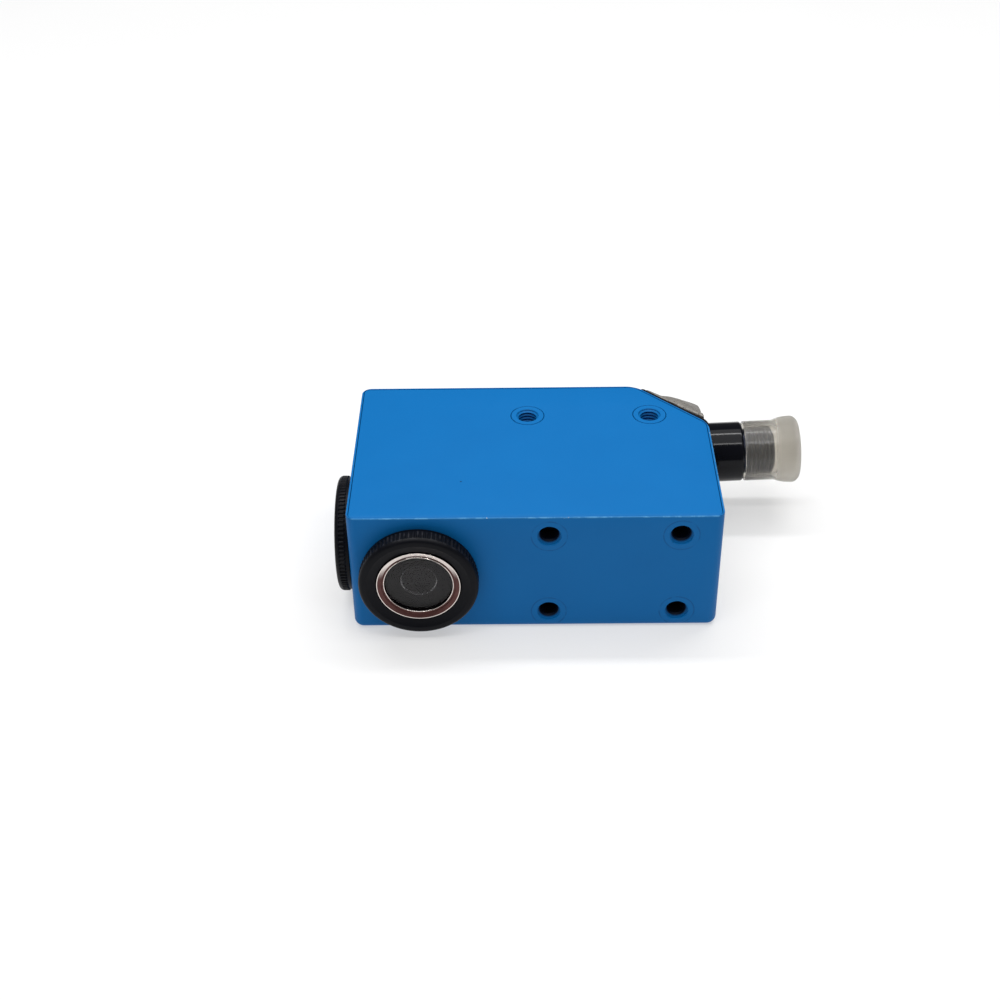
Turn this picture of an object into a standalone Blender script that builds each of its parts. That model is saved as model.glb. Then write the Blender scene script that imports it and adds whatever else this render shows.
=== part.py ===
"""Photoelectric contrast sensor in a die-cast housing, with two screw-in ports and a swivelling plug.

Lengths are in millimetres here and become metres in the meshes. The origin is the centre of the
housing's underside, +X runs towards the plug, -Y is the face with the lens, and +Z is up.
"""

import math

import bmesh
import bpy
from mathutils import Matrix, Vector

MM = 0.001

# Housing: a cast pot with one cut corner, open at the top.
LENGTH = 80.0
DEPTH = 51.0
HEIGHT = 30.4
WALL = 2.2
CORNER_RADIUS = 2.2
CUT = 15.7
MIDDLE = HEIGHT / 2
GAP = 0.3

# Lid: a flat plate let into the pot's rim.
LID_THICKNESS = 1.4
LEDGE = 28.3
RIM = 0.45
FRONT_RIM = 0.4
LID_CORNER = 1.4
GASKET = 0.3
GASKET_GAP = 0.2

# Ports: the lens in front and the blind cap on the left share one thread.
PORT_INSET = 15.0
PORT_BORE = 10.4
PORT_BOSS = 12.4
PORT_DEPTH = 5.5
THREAD_RADIUS = 10.1
GROOVE_RADIUS = 8.9
GROOVE = (-0.7, -2.2)
PORT_SEAL = (9.65, 0.45)
EDGE_ROUNDING = 1.0
LENS_RING_RADIUS = 12.9
LENS_RING_HEIGHT = 4.4
LENS_SEAT = 2.0
LENS_RADIUS = 9.0
BLIND_RADIUS = 12.8
BLIND_HEIGHT = 3.3

# Threaded fixing holes, M5.
HOLE_RADIUS = 2.1
HOLE_DEPTH = 5.5
BOSS_RADIUS = 3.9
BOSS_LENGTH = 6.8
FRONT_HOLES_X = (3.0, 31.0)
FRONT_HOLES_Z = (4.6, 25.4)
TOP_HOLES_X = (-1.2, 26.8)
TOP_HOLES_Y = 13.4
TOP_BOSS_RADIUS = 3.7
TOP_BOSS_BOTTOM = 23.6

# Lid screws, driven in from below.
POST_RADIUS = 2.6
POSTS = ((-34.2, 20.2), (13.0, 20.2), (17.0, -20.3), (-8.2, -20.3))
SCREW_END = 22.0

# Main board on its standoffs.
BOARD_Z = 5.6
BOARD_THICKNESS = 1.6
BOARD_LOW = (-8.0, -16.8)
BOARD_HIGH = (30.0, 16.0)
BOARD_SCREWS = ((-5.0, -13.8), (27.0, -13.8), (-5.0, 13.0))
CHIPS_Z = BOARD_Z + BOARD_THICKNESS + GAP

# Optics block behind the lens.
OPTICS_SIDE = -14.6
OPTICS_BACK = -0.6
OPTICS_BORE = 7.5

# Control panel in the right face.
PANEL_SEAT = 1.6
PANEL_BOSS_DEPTH = 5.0
PANEL_LOW = (-21.0, 3.4)
PANEL_HIGH = (5.4, 27.0)
WINDOW_LOW = (-16.4, 5.6)
WINDOW_HIGH = (0.8, 24.8)
PANEL_SCREWS_Y = (-18.8, 3.2)
PANEL_SINK = 2.2
CONTROL_X = 34.2
CONTROL_BOARD = 1.2
SWITCH = 1.6
KEY_Y = -11.2
LIGHT_Y = -3.4
LIGHT_RADIUS = 1.3
KEYS_Z = (20.2, 10.2)
KEY_RADIUS = 3.2
KEY_TRAVEL = 0.6
KEY_PROUD = 0.7

# Swivelling plug on the cut corner.
PLUG_TURN = -3.5
PLUG_Y = 19.2
PLATE_HALF = (10.6, 14.7)
PLATE_TOP = 1.2
SHAFT_RADIUS = 4.8
SHAFT_BORE = 3.2
SHAFT_END = -4.6
HOOD_HALF = (10.4, 14.4)
HOOD_RADIUS = 14.5
HOOD_BASE = 1.5
HOOD_SHOULDER = 3.5
HOOD_TOP = 12.0
HOOD_SLOPE = 0.68
PLUG_BORE = 4.0
PLUG_BORE_DEPTH = 2.8
COLLAR_RADIUS = 7.05
COLLAR_END = 49.7
COLLAR_ROUNDING = 0.65
THREAD_START = COLLAR_END + GAP
THREAD_END = 57.2
INSERT_START = 44.2
INSERT_END = 51.0
PIN_CIRCLE = 2.75
PIN_END = 56.4
CAP_START = COLLAR_END + GAP
CAP_BORE = 6.5
CAP_RADIUS = 7.1
CAP_END = 63.0

LEFT = -LENGTH / 2
RIGHT = LENGTH / 2
FRONT = -DEPTH / 2
BACK = DEPTH / 2
DIAGONAL = Vector((1.0, 1.0, 0.0)).normalized()
SWIVEL = Vector((RIGHT - CUT / 2, BACK - CUT / 2, MIDDLE))
LENS_AXIS = Vector((LEFT + PORT_INSET, FRONT, MIDDLE))
BLIND_AXIS = Vector((LEFT, FRONT + PORT_INSET, MIDDLE))


def new_collection(name, hidden):
    collection = bpy.data.collections.new(name)
    collection.hide_render = hidden
    bpy.context.scene.collection.children.link(collection)
    return collection


def finish(name, colour, roughness, metallic=0.0, alpha=1.0):
    material = bpy.data.materials.new(name)
    material.use_nodes = True
    shader = material.node_tree.nodes["Principled BSDF"]
    shader.inputs["Base Color"].default_value = (*colour, 1.0)
    shader.inputs["Roughness"].default_value = roughness
    shader.inputs["Metallic"].default_value = metallic
    shader.inputs["Alpha"].default_value = alpha
    material.diffuse_color = (*colour, alpha)
    return material


def frame_at(point, direction):
    """Millimetre point and direction to a matrix whose Z runs along the direction."""
    turn = Vector(direction).to_track_quat("Z", "Y").to_matrix().to_4x4()
    return Matrix.Translation(Vector(point) * MM) @ turn


def place(name, mesh_source, material, matrix=None):
    """Wrap a bmesh as an object, as a named piece or, with no material, as a cutter."""
    mesh = bpy.data.meshes.new(name)
    mesh_source.to_mesh(mesh)
    mesh_source.free()
    piece = bpy.data.objects.new(name, mesh)
    (PARTS if material else CUTTERS).objects.link(piece)
    if material:
        mesh.materials.append(material)
    else:
        piece.hide_render = True
        piece.display_type = "WIRE"
    if matrix is not None:
        piece.matrix_world = matrix
    return piece


def quarter_turns(count):
    return Matrix.Rotation(count * math.pi / 2, 4, "Z")


def smooth(piece, angle=35.0):
    piece.data.shade_smooth()
    piece.data.set_sharp_from_angle(angle=math.radians(angle))
    return piece


def rod(name, material, point, direction, start, end, radius, segments=20):
    """A cylinder along a direction, from start to end past the point."""
    shape = bmesh.new()
    bmesh.ops.create_cone(
        shape,
        cap_ends=True,
        segments=segments,
        radius1=radius * MM,
        radius2=radius * MM,
        depth=(end - start) * MM,
        matrix=Matrix.Translation((0.0, 0.0, (start + end) / 2 * MM)),
    )
    return smooth(place(name, shape, material, frame_at(point, direction)))


def block(name, material, low, high, rounding=0.0, matrix=None, segments=1):
    """A box between two corners, with its edges rounded where rounding is given."""
    low = Vector(low) * MM
    high = Vector(high) * MM
    shape = bmesh.new()
    size = Matrix.Diagonal((*(high - low), 1.0))
    bmesh.ops.create_cube(shape, size=1.0, matrix=Matrix.Translation((low + high) / 2) @ size)
    if rounding:
        bmesh.ops.bevel(
            shape,
            geom=shape.edges[:],
            offset=rounding * MM,
            segments=segments,
            profile=0.5,
            affect="EDGES",
            clamp_overlap=True,
        )
    return place(name, shape, material, matrix)


def turned(name, material, point, direction, profile, steps=32, ring=False):
    """Spin a profile of (radius, height) pairs, listed down the outer side, about its axis."""
    shape = bmesh.new()
    verts = [shape.verts.new((radius * MM, 0.0, height * MM)) for radius, height in profile]
    for first, second in zip(verts, verts[1:]):
        shape.edges.new((first, second))
    if ring:
        shape.edges.new((verts[-1], verts[0]))
    piece = place(name, shape, material, frame_at(point, direction))
    screw = piece.modifiers.new("Turn", "SCREW")
    screw.steps = steps
    screw.render_steps = steps
    screw.use_merge_vertices = True
    screw.merge_threshold = 0.00001
    screw.use_smooth_shade = True
    return piece


def boolean(piece, operation, others):
    for other in others:
        modifier = piece.modifiers.new(operation.title(), "BOOLEAN")
        modifier.operation = operation
        modifier.solver = "EXACT"
        modifier.object = other
    return piece


def arc(centre, radius, start, end, count):
    """Points on an arc of a turned profile, angles in degrees from the radial direction."""
    steps = [math.radians(start + (end - start) * index / count) for index in range(count + 1)]
    return [
        (centre[0] + radius * math.cos(angle), centre[1] + radius * math.sin(angle))
        for angle in steps
    ]


def hold(empty_name, point, direction, pieces):
    """An empty on a joint's axis that carries the pieces of one moving body."""
    empty = bpy.data.objects.new(empty_name, None)
    PARTS.objects.link(empty)
    empty.matrix_world = frame_at(point, direction)
    bpy.context.view_layer.update()
    for piece in pieces:
        piece.parent = empty
        piece.matrix_parent_inverse = empty.matrix_world.inverted()
    return empty


def case_block(name, material, inset, bottom, top, corner, front_inset=None, foot=0.0):
    """A block with the housing's outline, drawn in all round, its upright corners rounded."""
    front_inset = inset if front_inset is None else front_inset
    low = Vector((LEFT + inset, FRONT + front_inset, bottom)) * MM
    high = Vector((RIGHT - inset, BACK - inset, top)) * MM
    shape = bmesh.new()
    size = Matrix.Diagonal((*(high - low), 1.0))
    bmesh.ops.create_cube(shape, size=1.0, matrix=Matrix.Translation((low + high) / 2) @ size)
    bmesh.ops.bisect_plane(
        shape,
        geom=shape.verts[:] + shape.edges[:] + shape.faces[:],
        dist=1e-7,
        plane_co=(SWIVEL - DIAGONAL * inset) * MM,
        plane_no=DIAGONAL,
        clear_outer=True,
    )
    bmesh.ops.edgeloop_fill(shape, edges=[edge for edge in shape.edges if edge.is_boundary])
    bmesh.ops.bevel(
        shape,
        geom=[edge for edge in shape.edges if edge.verts[0].co.z != edge.verts[1].co.z],
        offset=corner * MM,
        segments=3,
        profile=0.5,
        affect="EDGES",
    )
    if foot:
        under = bottom * MM + 1e-6
        bmesh.ops.bevel(
            shape,
            geom=[edge for edge in shape.edges if max(v.co.z for v in edge.verts) < under],
            offset=foot * MM,
            segments=2,
            profile=0.5,
            affect="EDGES",
        )
    bmesh.ops.recalc_face_normals(shape, faces=shape.faces[:])
    return place(name, shape, material)


def build_housing():
    """The cast pot: outer block, hollow, lid recess, bosses, then every hole."""
    housing = case_block("housing_body", BLUE, 0.0, 0.0, HEIGHT, CORNER_RADIUS, foot=1.6)
    hollow = case_block("cut_hollow", None, WALL, WALL, HEIGHT + 1.0, CORNER_RADIUS - 1.0)
    boolean(housing, "DIFFERENCE", [hollow])

    joined = []
    boss_start = WALL - 0.5
    outward = (0.0, 1.0, 0.0)
    for x in FRONT_HOLES_X:
        for z in FRONT_HOLES_Z:
            boss = rod(
                f"join_front_boss_{x:.0f}_{z:.0f}", None, (x, FRONT, z), outward,
                boss_start, BOSS_LENGTH, BOSS_RADIUS, 16,
            )
            joined.append(boss)
    for x in TOP_HOLES_X:
        joined.append(
            rod(
                f"join_top_boss_{x:.0f}", None, (x, TOP_HOLES_Y, 0.0), (0, 0, 1),
                TOP_BOSS_BOTTOM, HEIGHT, TOP_BOSS_RADIUS, 20,
            )
        )
    joined.append(
        block(
            "join_back_web", None,
            (TOP_HOLES_X[0] - 2.5, TOP_HOLES_Y, TOP_BOSS_BOTTOM),
            (TOP_HOLES_X[0] + 2.5, BACK - WALL / 2, LEDGE),
        )
    )
    joined.append(
        block(
            "join_corner_web", None,
            (-2.5, TOP_BOSS_BOTTOM - MIDDLE, -7.0), (2.5, LEDGE - MIDDLE, -WALL / 2),
            matrix=corner_frame(),
        )
    )
    joined.append(
        rod("join_lens_boss", None, LENS_AXIS, (0, 1, 0), boss_start, PORT_DEPTH, PORT_BOSS, 32)
    )
    joined.append(
        rod("join_blind_boss", None, BLIND_AXIS, (1, 0, 0), boss_start, PORT_DEPTH, PORT_BOSS, 32)
    )
    for index, (x, y) in enumerate(BOARD_SCREWS):
        joined.append(
            rod(
                f"join_standoff_{index}", None, (x, y, 0.0), (0, 0, 1),
                boss_start, BOARD_Z - GAP, 2.4, 12,
            )
        )
    for side, y in enumerate(PANEL_SCREWS_Y):
        joined.append(
            rod(
                f"join_panel_boss_{side}", None, (RIGHT, y, MIDDLE), (-1, 0, 0),
                1.0, PANEL_BOSS_DEPTH, 2.2, 12,
            )
        )
    boolean(housing, "UNION", joined)

    lid_space = case_block(
        "cut_lid_space", None, RIM, LEDGE, HEIGHT + 1.0, LID_CORNER, front_inset=FRONT_RIM
    )
    sleeves = [
        rod(
            f"keep_top_boss_{x:.0f}", None, (x, TOP_HOLES_Y, 0.0), (0, 0, 1),
            LEDGE - 1.0, HEIGHT + 2.0, TOP_BOSS_RADIUS, 20,
        )
        for x in TOP_HOLES_X
    ]
    boolean(lid_space, "DIFFERENCE", sleeves)
    cuts = [lid_space]
    for x in FRONT_HOLES_X:
        for z in FRONT_HOLES_Z:
            cuts.append(
                rod(
                    f"cut_front_hole_{x:.0f}_{z:.0f}", None, (x, FRONT, z), outward,
                    -1.0, HOLE_DEPTH, HOLE_RADIUS, 16,
                )
            )
    for x in TOP_HOLES_X:
        cuts.append(
            rod(
                f"cut_top_hole_{x:.0f}", None, (x, TOP_HOLES_Y, HEIGHT), (0, 0, -1),
                -1.0, HOLE_DEPTH, HOLE_RADIUS, 16,
            )
        )
    cuts.append(
        rod("cut_lens_port", None, LENS_AXIS, (0, 1, 0), -1.0, PORT_DEPTH + 1, PORT_BORE, 32)
    )
    cuts.append(
        rod("cut_blind_port", None, BLIND_AXIS, (1, 0, 0), -1.0, PORT_DEPTH + 1, PORT_BORE, 32)
    )
    for index, (x, y) in enumerate(POSTS):
        cuts.append(
            turned(
                f"cut_screw_seat_{index}", None, (x, y, 0.0), (0, 0, -1),
                [(0, 1.0), (2.6, 1.0), (2.6, -0.6), (1.4, -1.8), (1.4, -3.0), (0, -3.0)], 16,
            )
        )
    for index, (x, y) in enumerate(BOARD_SCREWS):
        cuts.append(
            rod(
                f"cut_board_screw_{index}", None, (x, y, 0.0), (0, 0, 1),
                BOARD_Z - 4.0, BOARD_Z + 1.0, 1.15, 10,
            )
        )
    for side, y in enumerate(PANEL_SCREWS_Y):
        cuts.append(
            rod(
                f"cut_panel_screw_{side}", None, (RIGHT, y, MIDDLE), (-1, 0, 0),
                -1.0, PANEL_BOSS_DEPTH + 1.0, 1.15, 10,
            )
        )
    cuts.append(
        block(
            "cut_panel_seat", None,
            (RIGHT - PANEL_SEAT, PANEL_LOW[0] - GAP, PANEL_LOW[1] - GAP),
            (RIGHT + 1.0, PANEL_HIGH[0] + GAP, PANEL_HIGH[1] + GAP),
        )
    )
    cuts.append(
        block(
            "cut_panel_window", None,
            (RIGHT - WALL - 1.0, WINDOW_LOW[0], WINDOW_LOW[1]),
            (RIGHT + 1.0, WINDOW_HIGH[0], WINDOW_HIGH[1]),
        )
    )
    cuts.append(
        rod("cut_swivel_bore", None, SWIVEL, DIAGONAL, -WALL - 1.0, 1.0, SHAFT_RADIUS + 0.3, 20)
    )
    return boolean(housing, "DIFFERENCE", cuts)


def build_lid():
    """The cover plate with its screw posts, the gasket under it and the four long screws."""
    lid = case_block(
        "cover_plate", BLUE, RIM + GAP, HEIGHT - LID_THICKNESS, HEIGHT, LID_CORNER - GAP,
        front_inset=FRONT_RIM + GAP,
    )
    posts = [
        rod(
            f"join_post_{index}", None, (x, y, 0.0), (0, 0, 1),
            WALL + GAP, HEIGHT - LID_THICKNESS / 2, POST_RADIUS, 16,
        )
        for index, (x, y) in enumerate(POSTS)
    ]
    boolean(lid, "UNION", posts)
    cuts = [
        rod(
            f"cut_lid_boss_{x:.0f}", None, (x, TOP_HOLES_Y, 0.0), (0, 0, 1),
            LEDGE, HEIGHT + 1.0, TOP_BOSS_RADIUS + 0.25, 20,
        )
        for x in TOP_HOLES_X
    ]
    for index, (x, y) in enumerate(POSTS):
        cuts.append(
            rod(
                f"cut_post_{index}", None, (x, y, 0.0), (0, 0, 1),
                0.0, SCREW_END + 0.6, 1.5, 10,
            )
        )
    boolean(lid, "DIFFERENCE", cuts)

    gasket_bottom = LEDGE + GASKET_GAP
    gasket = case_block(
        "cover_gasket", RUBBER, RIM + 0.35, gasket_bottom, gasket_bottom + GASKET, LID_CORNER,
        front_inset=FRONT_RIM + 0.35,
    )
    inner = case_block(
        "cut_gasket", None, WALL - 0.1, gasket_bottom - 1.0, gasket_bottom + 1.0, CORNER_RADIUS - 1.0
    )
    boolean(gasket, "DIFFERENCE", [inner])

    for index, (x, y) in enumerate(POSTS):
        screw = turned(
            f"cover_screw_{index + 1}", STEEL, (x, y, 0.0), (0, 0, 1),
            [
                (0, SCREW_END), (0.9, SCREW_END), (1.15, SCREW_END - 0.4), (1.15, 1.75),
                (2.2, 0.65), (2.2, 0.35), (0, 0.35),
            ],
            12,
        )
        slots = [
            block(
                f"cut_cross_{index}_{turn}", None, (-1.3, -0.25, -1.0), (1.3, 0.25, 1.0),
                matrix=frame_at((x, y, 0.1), (0, 0, 1)) @ quarter_turns(turn),
            )
            for turn in range(2)
        ]
        boolean(screw, "DIFFERENCE", slots)


def neck():
    """Profile of the threaded neck below a flange, with the groove for its seal."""
    return [
        (THREAD_RADIUS, GAP), (THREAD_RADIUS, GROOVE[0]), (GROOVE_RADIUS, GROOVE[0]),
        (GROOVE_RADIUS, GROOVE[1]), (THREAD_RADIUS, GROOVE[1]),
    ]


def rim(radius, height):
    """Profile of a flange's rounded front edge and its side, down to the housing."""
    corner = (radius - EDGE_ROUNDING, height - EDGE_ROUNDING)
    return [*arc(corner, EDGE_ROUNDING, 90, 0, 2), (radius, GAP)]


def port_seal(name, axis, outward):
    """The O-ring in the groove of a neck."""
    major, minor = PORT_SEAL
    middle = (GROOVE[0] + GROOVE[1]) / 2
    profile = arc((major, middle), minor, 0, -270, 3)
    return turned(name, RUBBER, axis, outward, profile, 24, ring=True)


def build_lens():
    """Lens ring, clamped glass, aperture tube and the seal in the ring's neck."""
    outward = (0.0, -1.0, 0.0)
    bottom = 0.5 - PORT_DEPTH
    ring = turned(
        "lens_ring", BLACK, LENS_AXIS, outward,
        [
            (11.2, LENS_RING_HEIGHT), *rim(LENS_RING_RADIUS, LENS_RING_HEIGHT), *neck(),
            (THREAD_RADIUS, bottom), (8.0, bottom), (8.0, LENS_SEAT), (9.3, LENS_SEAT),
            (9.3, LENS_SEAT + 1.7),
        ],
        36, ring=True,
    )
    clamp = LENS_SEAT + 1.2
    retainer = turned(
        "lens_retainer", BRIGHT, LENS_AXIS, outward,
        [
            (7.9, clamp + 0.5), (8.7, clamp + 0.8), (LENS_RADIUS, clamp + 0.8),
            (LENS_RADIUS, clamp), (7.3, clamp), (7.3, clamp + 0.35),
        ],
        36, ring=True,
    )
    back = LENS_SEAT + GAP
    crown = [(LENS_RADIUS * step / 4, back + 1.0 - 0.6 * (step / 4) ** 2) for step in range(5)]
    glass = turned(
        "front_lens", GLASS, LENS_AXIS, outward, [*crown, (LENS_RADIUS, back), (0.0, back)], 32
    )
    tube = turned(
        "aperture_tube", BLACK, LENS_AXIS, outward,
        [
            (3.8, LENS_SEAT), (7.7, LENS_SEAT), (7.7, bottom + 0.4), (6.9, bottom + 0.4),
            (6.9, LENS_SEAT - 0.8), (3.8, LENS_SEAT - 0.8),
        ],
        32, ring=True,
    )
    seal = port_seal("lens_o_ring", LENS_AXIS, outward)
    hold("lens_thread_axis", LENS_AXIS, outward, [ring, retainer, glass, tube, seal])


def build_blind_cap():
    """The cap that closes the second port, with a coin slot, and its seal."""
    outward = (-1.0, 0.0, 0.0)
    bottom = 1.0 - PORT_DEPTH
    face = BLIND_HEIGHT - 0.4
    cap = turned(
        "blind_cap", BLACK, BLIND_AXIS, outward,
        [
            (0, face), (9.2, face), (9.7, BLIND_HEIGHT), *rim(BLIND_RADIUS, BLIND_HEIGHT), *neck(),
            (THREAD_RADIUS, bottom), (0, bottom),
        ],
        36,
    )
    slot = block(
        "cut_coin_slot", None, (-8.0, -0.9, BLIND_HEIGHT - 1.7), (8.0, 0.9, BLIND_HEIGHT + 1.0),
        matrix=frame_at(BLIND_AXIS, outward),
    )
    boolean(cap, "DIFFERENCE", [slot])
    seal = port_seal("blind_o_ring", BLIND_AXIS, outward)
    hold("blind_thread_axis", BLIND_AXIS, outward, [cap, seal])


def build_optics():
    """Block behind the lens, with the emitter behind it and the receiver at its side."""
    centre = Vector((LENS_AXIS.x, BLIND_AXIS.y, MIDDLE))
    carrier = block(
        "optics_block", BLACK, (-33.8, -19.2, 3.0), (OPTICS_SIDE, OPTICS_BACK, 27.6), 0.8
    )
    boolean(
        carrier, "DIFFERENCE",
        [
            rod("cut_beam_bore", None, centre, (0, 1, 0), -12.0, 12.0, OPTICS_BORE, 20),
            rod("cut_side_bore", None, centre, (1, 0, 0), -12.0, 12.0, OPTICS_BORE, 20),
        ],
    )
    block(
        "beam_splitter", GLASS, (-5.0, -6.2, -0.5), (5.0, 6.2, 0.5),
        matrix=frame_at(centre, (1.0, -1.0, 0.0)),
    )
    bulge = [(7.1 * step / 3, 1.6 - 0.9 * (step / 3) ** 2) for step in range(4)]
    lens = [*bulge, (7.1, -0.7), (0.0, -0.7)]
    turned(
        "collimator_lens", GLASS, (centre.x, OPTICS_BACK - 2.4, MIDDLE), (0, -1, 0), lens, 20
    )
    turned(
        "receiver_lens", GLASS, (OPTICS_SIDE - 2.4, centre.y, MIDDLE), (-1, 0, 0), lens, 20
    )
    block(
        "emitter_board", BOARD, (centre.x - 8, OPTICS_BACK + 1.7, 5.0),
        (centre.x + 8, OPTICS_BACK + 2.9, 25.0),
    )
    block(
        "emitter_led", RESIN, (centre.x - 1.8, OPTICS_BACK + 0.1, MIDDLE - 1.8),
        (centre.x + 1.8, OPTICS_BACK + 1.4, MIDDLE + 1.8), 0.3,
    )
    block(
        "receiver_board", BOARD, (OPTICS_SIDE + 1.7, centre.y - 7.5, 5.0),
        (OPTICS_SIDE + 2.9, centre.y + 7.5, 25.0),
    )
    block(
        "photodiode", RESIN, (OPTICS_SIDE + 0.1, centre.y - 2.2, MIDDLE - 2.2),
        (OPTICS_SIDE + 1.4, centre.y + 2.2, MIDDLE + 2.2), 0.3,
    )


def build_boards():
    """Main board on its standoffs, with its screws, header and the largest chips."""
    board_top = BOARD_Z + BOARD_THICKNESS
    board = block("main_board", BOARD, (*BOARD_LOW, BOARD_Z), (*BOARD_HIGH, board_top))
    holes = [
        rod(
            f"cut_board_hole_{index}", None, (x, y, 0.0), (0, 0, 1), BOARD_Z - 1, board_top + 1,
            1.4, 10,
        )
        for index, (x, y) in enumerate(BOARD_SCREWS)
    ]
    boolean(board, "DIFFERENCE", holes)
    top = CHIPS_Z
    for index, (x, y) in enumerate(BOARD_SCREWS):
        turned(
            f"board_screw_{index + 1}", STEEL, (x, y, 0.0), (0, 0, 1),
            [
                (0, top + 1.2), (1.5, top + 1.2), (1.9, top + 0.8), (1.9, top),
                (0.9, top), (0.9, BOARD_Z - 3.2), (0, BOARD_Z - 3.5),
            ],
            10,
        )
    block("processor_chip", CHIP, (2.0, -6.0, top), (11.0, 3.0, top + 1.4), 0.2)
    block("driver_chip", CHIP, (15.0, -9.0, top), (20.0, -3.0, top + 1.4), 0.2)
    block("plug_header", RESIN, (18.0, 2.0, top), (24.0, 8.0, top + 4.0), 0.3)


def lead(name, material, points, radius):
    """A short bundle of insulated leads along a smooth line through the given points."""
    curve = bpy.data.curves.new(name, "CURVE")
    curve.dimensions = "3D"
    curve.bevel_depth = radius * MM
    curve.bevel_resolution = 1
    curve.use_fill_caps = True
    spline = curve.splines.new("POLY")
    route = [Vector(point) for point in points]
    smooth_route = []
    for index in range(len(route) - 1):
        before = route[max(index - 1, 0)]
        start, end = route[index], route[index + 1]
        after = route[min(index + 2, len(route) - 1)]
        for step in range(3):
            t = step / 3
            smooth_route.append(
                0.5 * (
                    2 * start + (end - before) * t
                    + (2 * before - 5 * start + 4 * end - after) * t * t
                    + (3 * start - before - 3 * end + after) * t * t * t
                )
            )
    smooth_route.append(route[-1])
    spline.points.add(len(smooth_route) - 1)
    for target, point in zip(spline.points, smooth_route):
        target.co = (*(point * MM), 1.0)
    curve.materials.append(material)
    piece = bpy.data.objects.new(name, curve)
    PARTS.objects.link(piece)
    return piece


def build_leads():
    """Leads inside the housing, each from a board's top to what it feeds."""
    top = CHIPS_Z
    entry = SWIVEL - DIAGONAL * 9.0
    lead(
        "plug_leads", SHEATH,
        [
            (21.0, 5.0, top + 5.2), (22.4, 6.7, top + 7.2), tuple(entry),
            tuple(SWIVEL + DIAGONAL * 1.0),
        ],
        1.3,
    )
    lead(
        "emitter_leads", SHEATH,
        [(LENS_AXIS.x + 4, OPTICS_BACK + 3.3, 10.0), (-19.0, 6.0, 9.5), (-12.0, 9.0, 9.0),
         (-5.0, 8.0, top + 0.9)],
        0.7,
    )
    lead(
        "receiver_leads", SHEATH,
        [(OPTICS_SIDE + 3.3, BLIND_AXIS.y, 12.0), (-8.0, -9.0, 11.5), (-4.5, -7.0, top + 0.9)],
        0.6,
    )
    lead(
        "panel_leads", SHEATH,
        [(CONTROL_X - 0.3, -4.0, 12.0), (30.5, -3.0, 11.5), (27.0, -1.0, top + 0.9)],
        0.6,
    )


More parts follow.
